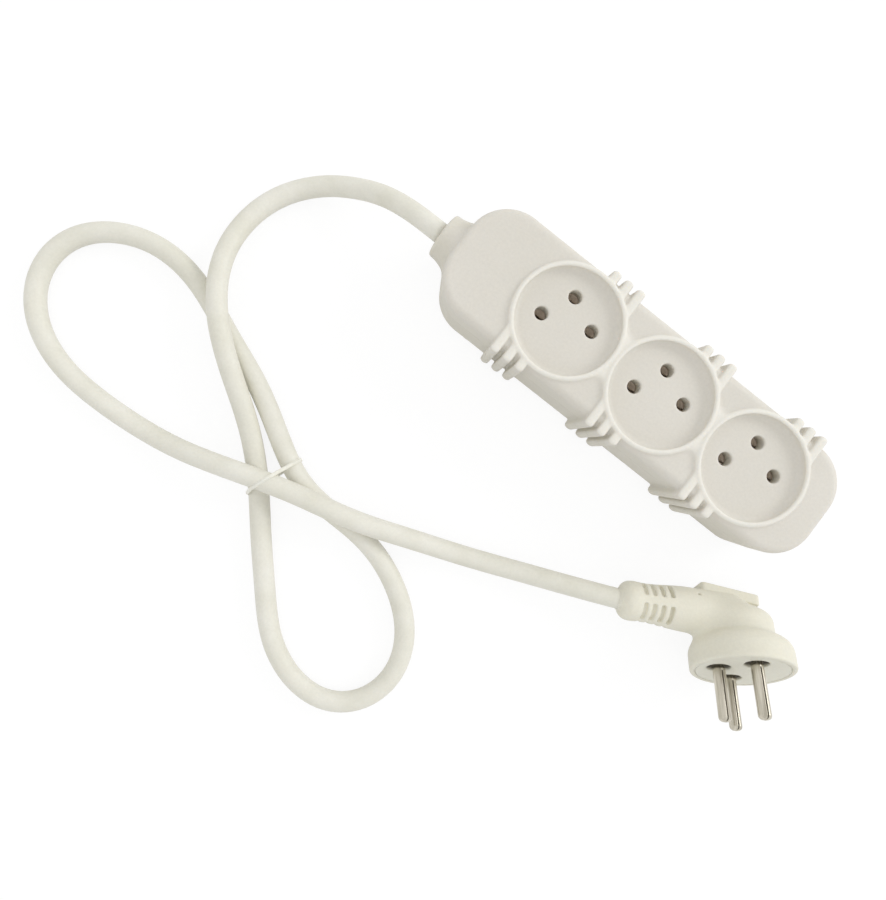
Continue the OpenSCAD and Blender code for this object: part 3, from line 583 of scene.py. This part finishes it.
def fins(x, y, z):
    """Grip fins: upright blades with a half-round tip, rounded upper and lower outer corners and
    rounded edges, from the rim's wall outwards."""
    u = from_socket(x) * np.where(y < 0, -1, 1)
    off = union([np.abs(u - spot) for spot in FIN_SPOTS])
    out = np.abs(y) - FIN_REACH
    blade = np.hypot(off, np.maximum(out + FIN_HALF, 0)) - FIN_HALF
    outline = np.maximum(common(out - FIN_TIP, z - FIN_TOP, FIN_TOP_CORNER),
                         common(out - FIN_TIP, FIN_FOOT - z, FIN_FOOT_CORNER))
    blade = common(blade - FIN_ADDED, outline, FIN_EDGE)
    outside = RIM_IN + CREST_R + FIN_START - np.hypot(from_socket(x), y)
    return common(blade, outside, FIN_START_EDGE)


# Collar: its mouth along X, its radius and edge, how far it goes in, and the flare into the end wall
COLLAR_MOUTH, COLLAR_R, COLLAR_EDGE, COLLAR_INSIDE = -85.5, 8.7, 1.0, 5
FLARE_LEN, FLARE_RISE = 8.9, 3.3


def collar(x, y, z):
    """Cord collar: a round stub that flares into the end wall, with the square of the distance from the
    flare's narrow end."""
    t = np.clip((CORD_END + WALL - x) / FLARE_LEN, 0, 1)
    stub = np.hypot(y, z - PARTING) - (COLLAR_R + FLARE_RISE * (1 - t) ** 2)
    return common(common(stub, COLLAR_MOUTH - x, COLLAR_EDGE), x - (CORD_END + COLLAR_INSIDE))


# Block: how far its foot leans in, and its edges, of which the top one grows away from the cord
LEAN, BOTTOM_EDGE, TOP_EDGE, TOP_EDGE_AT_CORD, EDGE_GROWS_OVER = 0.5, 2.5, 3.0, 2.0, 18
# Soft roots of the rims, the fins and the collar on the block
RIM_ROOT, FIN_ROOT, COLLAR_ROOT = 0.95, 0.7, 1.6
# Dishes: the floor, the fillet about it and the edge at the rim, then the cord's bore in the end wall
DISH_FLOOR, DISH_FILLET, DISH_EDGE = 30.5, 2.3, 0.2
CORD_BORE_R, CORD_BORE_LEN, CORD_BORE_EDGE = 4.1, 5.4, 0.3


def strip_outside(x, y, z):
    """The closed strip: a block with rounded edges that leans in below the parting line, with its
    rims, fins and collar grown on with soft roots, less the three dishes and the cord's bore."""
    plan = strip_plan(x, y) + LEAN * np.maximum(PARTING - z, 0) / (PARTING - BOTTOM_EDGE)
    top_edge = np.interp(x, [CORD_END, CORD_END + EDGE_GROWS_OVER], [TOP_EDGE_AT_CORD, TOP_EDGE])
    block = common(common(plan, z - FIELD, top_edge), -z, BOTTOM_EDGE)
    body = joined(joined(block, rims(x, y, z), RIM_ROOT), fins(x, y, z), FIN_ROOT)
    body = joined(body, collar(x, y, z), COLLAR_ROOT)
    dish = common(np.hypot(from_socket(x), y) - RIM_IN, DISH_FLOOR - z, DISH_FILLET)
    bore = common(np.hypot(y, z - PARTING) - CORD_BORE_R, x - (CORD_END + CORD_BORE_LEN))
    return common(common(body, -dish, DISH_EDGE), -bore, CORD_BORE_EDGE)


# Pin holes, and the guide tubes about them down to GUIDE_END
HOLE_R, HOLE_EDGE, GUIDE_R, GUIDE_END = 2.5, 0.4, 4.0, 24.5
# The ceiling of the room inside, and the underside of a dish with its radius
CEILING, DISH_UNDER, DISH_UNDER_R = 30.1, 28.1, 19.0
# Posts over the housing screws and the bores in them
COVER_POST_R, COVER_BORE_R, COVER_BORE_TOP = 3.2, 1.45, 27


def cover_solid(x, y, z):
    """Top cover: the strip above the parting line, less the room inside it. The room leaves the dishes'
    undersides, a tube around each pin hole and a post over each screw."""
    around = np.hypot(from_socket(x), y)
    holes, screws = pin_holes(x, y), screw_axes(x, y)
    kept = union([np.maximum(around - DISH_UNDER_R, DISH_UNDER - z),
                  np.maximum(holes - GUIDE_R, GUIDE_END - z), screws - COVER_POST_R])
    room = np.maximum(common(strip_plan(x, y) + WALL, z - CEILING, ROOM_EDGE), -kept)
    cover = np.maximum(common(strip_outside(x, y, z), HOLE_R - holes, HOLE_EDGE), -room)
    cover = np.maximum(cover, -np.maximum(screws - COVER_BORE_R, z - COVER_BORE_TOP))
    return np.maximum(cover, PARTING - z)


# Posts and bores of the housing screws, and the recesses under them for their heads
BASE_POST_R, BASE_BORE_R, SCREW_RECESS_R, SCREW_RECESS_TOP, SCREW_RECESS_EDGE = 4.4, 1.6, 3.0, 6, 0.2
# Where posts, ribs and saddle start, inside the floor
INSIDE_FOOT = 1.0
# Ribs to both sides of a socket's axis, the cord clamp's saddle with its bore, and its screws' bores
RIB_SPOT, RIB_HALF, RIB_REACH, RIB_TOP, RIB_RUN = 14, 0.8, 12.5, 8.0, 58
SADDLE_FROM, SADDLE_TO, SADDLE_REACH, SADDLE_TOP, SADDLE_BORE_R = -68.0, -61.0, 12, 18.4, 3.95
CLAMP_SCREW_X, CLAMP_SCREW_Y, CLAMP_BORE_R, CLAMP_BORE_END = -64.5, 8.4, 1.35, 6


def base_solid(x, y, z):
    """Base shell: the strip below the parting line, hollow, with screw posts, ribs under the bars and
    the saddle under the cord clamp, less the screws' recesses and bores."""
    room = common(strip_plan(x, y) + WALL, WALL - z, ROOM_EDGE)
    shell = np.maximum(strip_outside(x, y, z), -room)
    screws = screw_axes(x, y)
    posts = np.maximum(screws - BASE_POST_R, INSIDE_FOOT - z)
    rib = np.abs(np.abs(from_socket(x)) - RIB_SPOT) - RIB_HALF
    ribs = overlap([rib, np.abs(y) - RIB_REACH, between(z, INSIDE_FOOT, RIB_TOP),
                    np.abs(x - MID_SOCKET) - RIB_RUN])
    saddle = overlap([between(x, SADDLE_FROM, SADDLE_TO), np.abs(y) - SADDLE_REACH,
                      between(z, INSIDE_FOOT, SADDLE_TOP), SADDLE_BORE_R - np.hypot(y, z - PARTING)])
    clamp_bores = np.hypot(x - CLAMP_SCREW_X, np.abs(y) - CLAMP_SCREW_Y) - CLAMP_BORE_R
    saddle = np.maximum(saddle, -np.maximum(clamp_bores, CLAMP_BORE_END - z))
    base = union([shell, posts, ribs, saddle])
    recesses = np.maximum(screws - SCREW_RECESS_R, z - SCREW_RECESS_TOP)
    base = common(base, -recesses, SCREW_RECESS_EDGE)
    return overlap([base, BASE_BORE_R - screws, z - PARTING])


def make_housing():
    """The cover and the base, on grids that are finer in height where their detail is."""
    cover_z = grid_lines((19.2, 20.1, 0.25), (20.4, 27.2, 1.2), (27.6, 34.8, 0.45))
    cover_lines = [grid_lines((-86.5, 86.6, 0.55)), grid_lines((-26, 26, 0.54)), cover_z]
    solid_piece("cover_moulding", cover_solid, cover_lines, "cover_plastic", "top_cover")
    base_z = grid_lines((-0.6, 6.7, 0.5), (7, 18.5, 1.3), (18.9, 20.0, 0.25))
    base_lines = [grid_lines((-86.6, 86.8, 0.6)), grid_lines((-26, 26, 0.6)), base_z]
    solid_piece("base_moulding", base_solid, base_lines, "base_plastic", "base_shell")


# ---- Contact sleeves under the pin holes ----

CONDUCTORS = ("line", "neutral", "earth")
CONTACT_R, CONTACT_FOOT, CONTACT_TOP, CONTACT_EDGE = 3.1, 9.5, 24.2, 0.25
# The bore's radius at heights from its foot up to its mouth
BORE_HEIGHTS, BORE_RADII, BORE_EDGE = [10.3, 20.8, 22.2, 22.8, 24.2], [2.3, 2.3, 0.5, 0.5, 2.2], 0.15
# Below this height the formula is raised by so much that nothing is left of the post
CUT_OFF, CUT_RISE = 10.3, 9
SPLIT_HALF, SPLIT_FOOT, SPLIT_EDGE = 0.28, 12.5, 0.1


def contact_sleeve(x, y, z):
    """Contact sleeve: a round post, bored to a radius that goes along straight lines through BORE_RADII
    up to a pinched neck and a wider mouth, cut off below its bore, and split by a slot from above."""
    rho = np.hypot(x, y)
    post = common(rho - CONTACT_R, between(z, CONTACT_FOOT, CONTACT_TOP), CONTACT_EDGE)
    wall = np.interp(z, BORE_HEIGHTS, BORE_RADII) - rho + CUT_RISE * (z < CUT_OFF)
    slot = np.maximum(np.abs(y) - SPLIT_HALF, SPLIT_FOOT - z)
    return common(common(post, wall, BORE_EDGE), -slot, SPLIT_EDGE)


def make_contacts():
    """Three sleeves of each conductor, one under each socket, as copies of one surface."""
    lines = [grid_lines((-3.7, 3.7, 0.3))] * 2 + [grid_lines((9.2, 20, 0.9), (20.3, 24.9, 0.25))]
    points, quads = net_surface(contact_sleeve, lines)
    for name, turn in zip(CONDUCTORS, HOLE_TURNS):
        hole_x, hole_y = HOLE_CIRCLE * math.cos(turn), HOLE_CIRCLE * math.sin(turn)
        spots = np.array([[MID_SOCKET + k * PITCH + hole_x, hole_y, 0] for k in SOCKETS])
        copies = (points + spots[:, None]).reshape(-1, 3)
        faces = (quads + len(points) * np.arange(len(SOCKETS))[:, None, None]).reshape(-1, 4)
        new_piece(name + "_sleeves", copies * MM, faces.tolist(), "contact_brass", name + "_contacts")


# ---- Plug: over-mould, pin bridge and pins, in the plug's own frame ----

# Foot with its shoulder and the edge of its face, and the block behind it, which starts a little in
FOOT_R, FOOT_DEPTH, SHOULDER_R, FACE_EDGE = 18.8, 12, 6.2, 0.8
BLOCK_R, BLOCK_FROM, BLOCK_DEPTH, BLOCK_EDGE, BLOCK_ROOT = 13.3, 1, 22.6, 5, 2.3


def plug_head(x, y, z):
    """Round head: a foot whose shoulder is a large round, and a narrower round block behind it."""
    rho = np.hypot(x, y)
    foot = common(common(rho - FOOT_R, -z - FOOT_DEPTH, SHOULDER_R), z, FACE_EDGE)
    block = common(common(rho - BLOCK_R, -z - BLOCK_DEPTH, BLOCK_EDGE), z + BLOCK_FROM)
    return joined(foot, block, BLOCK_ROOT)


# Sleeve: its axis, its round end, then how its radius falls, its bead and its mouth
SLEEVE_Z, SLEEVE_FROM, SLEEVE_R = -21.0, 3.2, 8.6
FALL_FROM, FALL_LEN, FALL = 20, 18.4, 1.3
BEAD_X, BEAD_WIDTH, BEAD_RISE = 42.3, 1.9, 0.25
MOUTH_X, MOUTH_EDGE = 47, 3.2


def plug_sleeve(x, y, z):
    """Cord sleeve: a round end under the block's back, then a radius that falls along a smooth step
    towards a slight bead, and a rounded mouth."""
    t = np.clip((x - FALL_FROM) / FALL_LEN, 0, 1)
    bead = BEAD_RISE * np.exp(-((x - BEAD_X) / BEAD_WIDTH) ** 2)
    radius = SLEEVE_R - FALL * t * t * (3 - 2 * t) + bead
    tube = np.sqrt(np.minimum(x - SLEEVE_FROM, 0) ** 2 + y ** 2 + (z - SLEEVE_Z) ** 2) - radius
    return common(tube, x - MOUTH_X, MOUTH_EDGE)


# Grip bar: its lean about its end at the cord, its ends, its half width, corners and thickness
BAR_LEAN, BAR_Z, BAR_FROM, BAR_TO = math.radians(5), -32.0, -9.3, 14.8
BAR_HALF, BAR_CORNER, BAR_THICK, BAR_EDGE = 4.6, 1.6, 4.35, 0.7


def grip_bar(x, y, z):
    """Grip bar: a plate with round corners and soft edges, which leans towards the face as it goes
    away from the cord."""
    c, s = math.cos(BAR_LEAN), math.sin(BAR_LEAN)
    along = (x - BAR_TO) * c - (z - BAR_Z) * s - (BAR_FROM - BAR_TO) / 2
    up = (x - BAR_TO) * s + (z - BAR_Z) * c
    a = np.abs(along) - (BAR_TO - BAR_FROM) / 2 + BAR_CORNER
    plan = round_box(a, np.abs(y) - BAR_HALF + BAR_CORNER, BAR_CORNER)
    return common(plan, between(up, 0, BAR_THICK), BAR_EDGE)


# Slots: middle and pitch of their rings along the sleeve, middles and half span of their angles in
# degrees, the length of a degree on the sleeve, and the slots' half width, ends, floor and edges
RINGS_AT, RING_PITCH, SLOT_ANGLES, SLOT_SPAN, DEGREE = 34.1, 3.4, (57, 142), 30, 0.13
SLOT_HALF, SLOT_END_R, SLOT_FLOOR_R, SLOT_FLOOR_EDGE = 0.88, 0.8, 6.1, 0.35


def sleeve_slots(x, y, z):
    """Four rings of slots around the sleeve, each slot a band of angle with rounded ends."""
    nearest = np.clip(np.round((x - RINGS_AT) / RING_PITCH - 0.5) + 0.5, -1.5, 1.5)
    along = x - RINGS_AT - RING_PITCH * nearest
    angle = np.abs(np.degrees(np.arctan2(y, SLEEVE_Z - z)))
    arc = (union([np.abs(angle - middle) for middle in SLOT_ANGLES]) - SLOT_SPAN) * DEGREE
    depth = SLOT_FLOOR_R - np.hypot(y, z - SLEEVE_Z)
    return common(common(np.abs(along) - SLOT_HALF, arc, SLOT_END_R), depth, SLOT_FLOOR_EDGE)


# Gate mark: its place along the sleeve, its turn about it, its radius and its floor's distance
GATE_X, GATE_TURN, GATE_R, GATE_FLOOR = 18.2, math.radians(116.5), 0.6, 7.4


def gate_mark(x, y, z):
    """Gate mark: a short round hole square to the sleeve, down to a flat floor."""
    c, s = math.cos(GATE_TURN), math.sin(GATE_TURN)
    hole = np.hypot(x - GATE_X, y * c + (z - SLEEVE_Z) * s) - GATE_R
    return np.maximum(hole, GATE_FLOOR - (-y * s + (z - SLEEVE_Z) * c))


# Film of the moulding that runs out along the cord
FILM_R, FILM_FROM, FILM_TO = 3.97, 40, 48.4
# Soft roots between head and sleeve, of the grip bar and of the film
SLEEVE_ROOT, BAR_ROOT, FILM_ROOT = 5.0, 0.3, 1.3
# The bridge's seat, the pocket behind it, the way for the cores, and the bore, which grips the cord
SEAT_R, SEAT_DEPTH, POCKET_R, POCKET_DEPTH = 16.85, 7, 12.6, 13
WAY_FROM, WAY_TO, WAY_BACK, WAY_FRONT = -2, 14, -25, -12
WAY_WIDE, WAY_NARROW, WAY_STEP = 5, 4, 10.5
GRIP_BORE_R, GRIP_BORE_FROM = 3.15, 13
SLOT_EDGE, HOLLOW_EDGE = 0.25, 0.15


def plug_solid(x, y, z):
    """The over-mould: head, sleeve and grip bar grown together, with a film that runs out along the
    cord, less the bridge's seat, the pocket behind it, the way for the cores, the cord's bore, the
    slots and a small gate mark."""
    rho, from_cord = np.hypot(x, y), np.hypot(y, z - SLEEVE_Z)
    body = joined(plug_head(x, y, z), plug_sleeve(x, y, z), SLEEVE_ROOT)
    film = common(from_cord - FILM_R, between(x, FILM_FROM, FILM_TO))
    body = joined(joined(body, grip_bar(x, y, z), BAR_ROOT), film, FILM_ROOT)
    seat = common(rho - SEAT_R, -SEAT_DEPTH - z)
    pocket = common(rho - POCKET_R, -POCKET_DEPTH - z)
    beside = np.abs(y) - np.where(x < WAY_STEP, WAY_WIDE, WAY_NARROW)
    way = overlap([between(x, WAY_FROM, WAY_TO), beside, between(z, WAY_BACK, WAY_FRONT)])
    bore = np.maximum(from_cord - GRIP_BORE_R, GRIP_BORE_FROM - x)
    body = common(body, -sleeve_slots(x, y, z), SLOT_EDGE)
    hollow = union([seat, pocket, way, bore, gate_mark(x, y, z)])
    return common(body, -hollow, HOLLOW_EDGE)


# The disc, then the recess about a pin, the pin's bore and the pins' places
DISC_R, DISC_BACK, DISC_FRONT, DISC_EDGE = 16.8, -7, -0.15, 0.12
PIN_RECESS_R, PIN_RECESS_DEPTH, PIN_RECESS_EDGE, PIN_BORE_R = 4.3, 2.55, 0.25, 2.05
PIN_SPOTS = np.array([[0, -9.5], [0, 9.5], [9.5, 0]])


def bridge_solid(x, y, z):
    """Pin bridge: a disc with a round recess and a bore about each pin."""
    near = union([np.hypot(x - px, y - py) for px, py in PIN_SPOTS])
    disc = common(np.hypot(x, y) - DISC_R, between(z, DISC_BACK, DISC_FRONT), DISC_EDGE)
    disc = common(disc, -np.maximum(near - PIN_RECESS_R, -PIN_RECESS_DEPTH - z), PIN_RECESS_EDGE)
    return np.maximum(disc, PIN_BORE_R - near)


# Rod and its tip's round, the shank inside the plug, the locking collar on it, and the slot
PIN_R, PIN_LEN, TIP_R, SHANK_R, SHANK_END = 2.25, 19.0, 1.5, 2.0, -9.0
LOCK_R, LOCK_BACK, LOCK_FRONT, LOCK_EDGE = 3.0, -4.5, -3.0, 0.2
PIN_SLOT_HALF, PIN_SLOT_FROM, PIN_SLOT_EDGE = 0.2, 1, 0.1


def pin_solid(x, y, z):
    """Contact pin: a rod with a slimmer shank and a locking collar inside the plug, a domed tip and a
    slot along its length."""
    rho = np.hypot(x, y)
    rod = common(rho - np.where(z < 0, SHANK_R, PIN_R), z - PIN_LEN, TIP_R)
    rod = np.minimum(rod, common(rho - LOCK_R, between(z, LOCK_BACK, LOCK_FRONT), LOCK_EDGE))
    slot = np.maximum(np.abs(x) - PIN_SLOT_HALF, PIN_SLOT_FROM - z)
    return common(np.maximum(rod, SHANK_END - z), -slot, PIN_SLOT_EDGE)


def make_plug():
    """The over-mould, the pin bridge and the three pins, which are copies of one surface."""
    lines = [grid_lines((-20, 49.3, 0.42)), grid_lines((-20, 20, 0.42)), grid_lines((-33, 1, 0.42))]
    body = solid_piece("plug_moulding", plug_solid, lines, "plug_plastic", "plug_body", plug_points)
    lines = [grid_lines((-18, 18, 0.4)), grid_lines((-18, 18, 0.4)), grid_lines((-7.6, 0.6, 0.4))]
    bridge = solid_piece(
        "bridge_moulding", bridge_solid, lines, "insert_plastic", "pin_bridge", plug_points)
    pieces = [body, bridge]
    lines = [grid_lines((-3.4, 3.4, 0.17)), grid_lines((-3.4, 3.4, 0.2)),
             grid_lines((-9.6, 0.2, 0.35), (0.6, 16.5, 0.8), (16.8, 19.6, 0.2))]
    points, quads = net_surface(pin_solid, lines)
    faces = quads.tolist()
    for name, spot in zip(CONDUCTORS, PIN_SPOTS):
        placed = plug_points((points + [*spot, 0]) * MM)
        pieces.append(new_piece(name + "_contact_pin", placed, faces, "pin_nickel", name + "_pin"))
    return pieces


# ---- Free cord ----

# Points of a ring, steps between two points of the route, the reach of the end directions, and the
# width of the bell that evens the route
CORD_SIDES, ROUTE_STEPS, LEAD_IN, EVENED_OVER = 28, 10, 20 * MM, 12 * MM


def evened(path, reach):
    """The path at even steps, with its short wiggles in plan taken out: each point is the bell-weighted
    mean of its neighbours, plus the same mean of what that took off, so that the loops keep their size.
    Beyond its ends the path goes on turned half round about them, so they stay in place."""
    run = np.concatenate([[0], np.cumsum(np.linalg.norm(np.diff(path, axis=0), axis=1))])
    at = np.linspace(0, run[-1], len(path))
    path = np.stack([np.interp(at, run, path[:, k]) for k in range(3)], 1)
    half = round(4 * reach / at[1])
    bell = np.exp(-0.5 * (np.arange(-half, half + 1) * at[1] / reach) ** 2)
    bell /= bell.sum()

    def mean(line):
        before, after = 2 * line[0] - line[half:0:-1], 2 * line[-1] - line[-2:-half - 2:-1]
        return np.convolve(np.concatenate([before, line, after]), bell, "valid")

    for k in range(2):
        coarse = mean(path[:, k])
        path[:, k] = coarse + mean(path[:, k] - coarse)
    return path


def make_cord(pieces_on_it):
    """The cord: rings of CORD_SIDES points, square to the smooth curve through the route's points."""
    start = np.array([COLLAR_X, 0, PARTING_Z])
    finish = plug_points([np.array([MOUTH_X, 0, SLEEVE_Z]) * MM])[0]
    into_plug = PLUG_AXES @ [-1, 0, 0]
    middle = CORD_ROUTE + [COLLAR_X, 0, CORD_R]
    handles = np.vstack([start + [LEAD_IN, 0, 0], start, middle, finish, finish + LEAD_IN * into_plug])
    path = evened(smooth_path(handles, ROUTE_STEPS), EVENED_OVER)
    side, over = path_frames(path, [[-1, 0, 0]], [into_plug])
    around = np.linspace(0, 2 * math.pi, CORD_SIDES, endpoint=False)[None, :, None]
    ring = np.cos(around) * side[:, None] - np.sin(around) * over[:, None]
    points = (path[:, None] + CORD_R * ring).reshape(-1, 3)
    first_end = list(range(CORD_SIDES))[::-1]
    last_end = list(range(len(points) - CORD_SIDES, len(points)))
    faces = ring_faces(len(path), CORD_SIDES) + [first_end, last_end]
    piece = new_piece("free_cord", points, faces, "cord_jacket", "cord")


# ---- Wire tie ----

# The tie's middle in plan, and the direction across the bundle that its strands are placed along
TIE_AT, TIE_TURN = np.array([4.8, -106.5]) * MM + [COLLAR_X, 0], math.radians(70)
# Strands in the tie: place across the bundle, height of the underside, widening of a slanted section
TIE_STRANDS = ((-8.9, 1.0, 1.32), (5.6, 1.3, 1.05), (-5.0, 9.6, 1.46))
# Points of the path and of a section, the gap to the strands, the ribbon's half width and half
# thickness, and the wire's rise and the width of its bell
TIE_STEPS, TIE_SIDES, TIE_GAP, RIBBON_HALF_W, RIBBON_HALF_T = 240, 24, 0.2, 0.72, 0.1
WIRE_RISE, WIRE_WIDTH = 0.24, 0.36


def make_tie():
    """The wire tie: a thin ribbon with a round wire along its middle, carried around the bundle.
    Its path is the line that just encloses the strands' oval sections: for each direction, the
    furthest point of the oval that reaches furthest that way. The ribbon is an oval, whose outer half
    is raised over its middle by a bell curve for the wire."""
    turn = np.linspace(0, 2 * math.pi, TIE_STEPS, endpoint=False)
    way = np.stack([np.cos(turn), np.sin(turn)], 1)
    reach, points = [], []
    for place, low, wide in TIE_STRANDS:
        half = np.array([CORD_R_MM * wide, CORD_R_MM])
        span = np.hypot(*(half * way).T)
        points.append([place, low + CORD_R_MM] + half ** 2 * way / span[:, None])
        reach.append((points[-1] * way).sum(1))
    path = np.array(points)[np.argmax(reach, 0), np.arange(TIE_STEPS)] + TIE_GAP * way
    around = np.linspace(0, 2 * math.pi, TIE_SIDES, endpoint=False)
    across = RIBBON_HALF_W * np.cos(around)
    outer = RIBBON_HALF_T + WIRE_RISE * np.exp(-(across / WIRE_WIDTH) ** 2)
    thick = np.where(np.sin(around) > 0, outer, RIBBON_HALF_T) * np.sin(around)
    section = path[:, None] + thick[None, :, None] * way[:, None]
    side = np.array([math.cos(TIE_TURN), math.sin(TIE_TURN), 0])
    width = np.array([side[1], -side[0], 0])
    ring = section[..., :1] * side + section[..., 1:] * [0, 0, 1] + across[None, :, None] * width
    points = ring.reshape(-1, 3) * MM + [*TIE_AT, 0]
    faces = ring_faces(TIE_STEPS, TIE_SIDES, close_rings=True)
    return new_piece("wire_tie", points, faces, "tie_plastic", "cord_tie")


# ---- Floor and light ----

# The floor's glow, and the share of it in what is seen; the surround's strength as light and as seen
FLOOR_SIZE, FLOOR_TONE, FLOOR_ROUGHNESS, FLOOR_GLOW, GLOW_SHARE = 6, 0.8, 0.9, 1.08, 0.8
SURROUND, SURROUND_SEEN = 0.86, 1.0
KEY_AT, KEY_TARGET, KEY_SIZE, KEY_WATTS = (1.7, 2.7, 1.7), (0, -0.05, 0), 1.6, 36


def seen_rays(nodes, links):
    """1 for camera, glossy and transmission rays, 0 for the rays that light things."""
    rays = nodes.new("ShaderNodeLightPath")
    seen = rays.outputs["Is Camera Ray"]
    for name in ("Is Glossy Ray", "Is Transmission Ray"):
        most = nodes.new("ShaderNodeMath")
        most.operation = "MAXIMUM"
        links.new(seen, most.inputs[0])
        links.new(rays.outputs[name], most.inputs[1])
        seen = most.outputs["Value"]
    return seen


def make_stage():
    """A wide pale floor. Seen by the camera or in a reflection it is mostly a plain white glow, with a
    share of its lit surface, so it stays white and still keeps the object's soft shadow."""
    bpy.ops.mesh.primitive_plane_add(size=FLOOR_SIZE, location=(0, 0, 0))
    floor = bpy.context.object
    floor.name = "floor"
    material, nodes, links, shader = new_material("floor_white")
    shader.inputs["Base Color"].default_value = (FLOOR_TONE, FLOOR_TONE, FLOOR_TONE, 1)
    shader.inputs["Roughness"].default_value = FLOOR_ROUGHNESS
    shader.inputs["Specular IOR Level"].default_value = 0
    glow = nodes.new("ShaderNodeEmission")
    glow.inputs["Color"].default_value = (1, 1, 1, 1)
    glow.inputs["Strength"].default_value = FLOOR_GLOW
    share = nodes.new("ShaderNodeMath")
    share.operation = "MULTIPLY"
    share.inputs[1].default_value = GLOW_SHARE
    links.new(seen_rays(nodes, links), share.inputs[0])
    mix = nodes.new("ShaderNodeMixShader")
    links.new(share.outputs["Value"], mix.inputs["Fac"])
    links.new(shader.outputs["BSDF"], mix.inputs[1])
    links.new(glow.outputs["Emission"], mix.inputs[2])
    links.new(mix.outputs["Shader"], nodes["Material Output"].inputs["Surface"])
    floor.data.materials.append(material)


def make_lights():
    """An even white surround that shows as white, and a soft key from the far side."""
    world = bpy.data.worlds.new("studio")
    bpy.context.scene.world = world
    world.use_nodes = True
    nodes, links = world.node_tree.nodes, world.node_tree.links
    strength = map_range(nodes, links, seen_rays(nodes, links), SURROUND, SURROUND_SEEN)
    links.new(strength, nodes["Background"].inputs["Strength"])
    nodes["Background"].inputs["Color"].default_value = (1, 1, 1, 1)
    data = bpy.data.lights.new("key", "AREA")
    data.shape, data.size, data.energy = "DISK", KEY_SIZE, KEY_WATTS
    light = bpy.data.objects.new("key", data)
    light.location = KEY_AT
    light.rotation_mode = "QUATERNION"
    light.rotation_quaternion = (Vector(KEY_TARGET) - Vector(KEY_AT)).to_track_quat("-Z", "Y")
    bpy.context.scene.collection.objects.link(light)


INSIDE_PLUG = ("plug_cord_end", "plug_line_core", "plug_neutral_core", "plug_earth_core")

make_camera()
make_cord([*make_plug(), make_tie(), *(frame["nodes"][name] for name in INSIDE_PLUG)])
make_housing()
make_contacts()
dress_frame()
make_stage()
make_lights()
bpy.context.scene.view_settings.view_transform = "Standard"
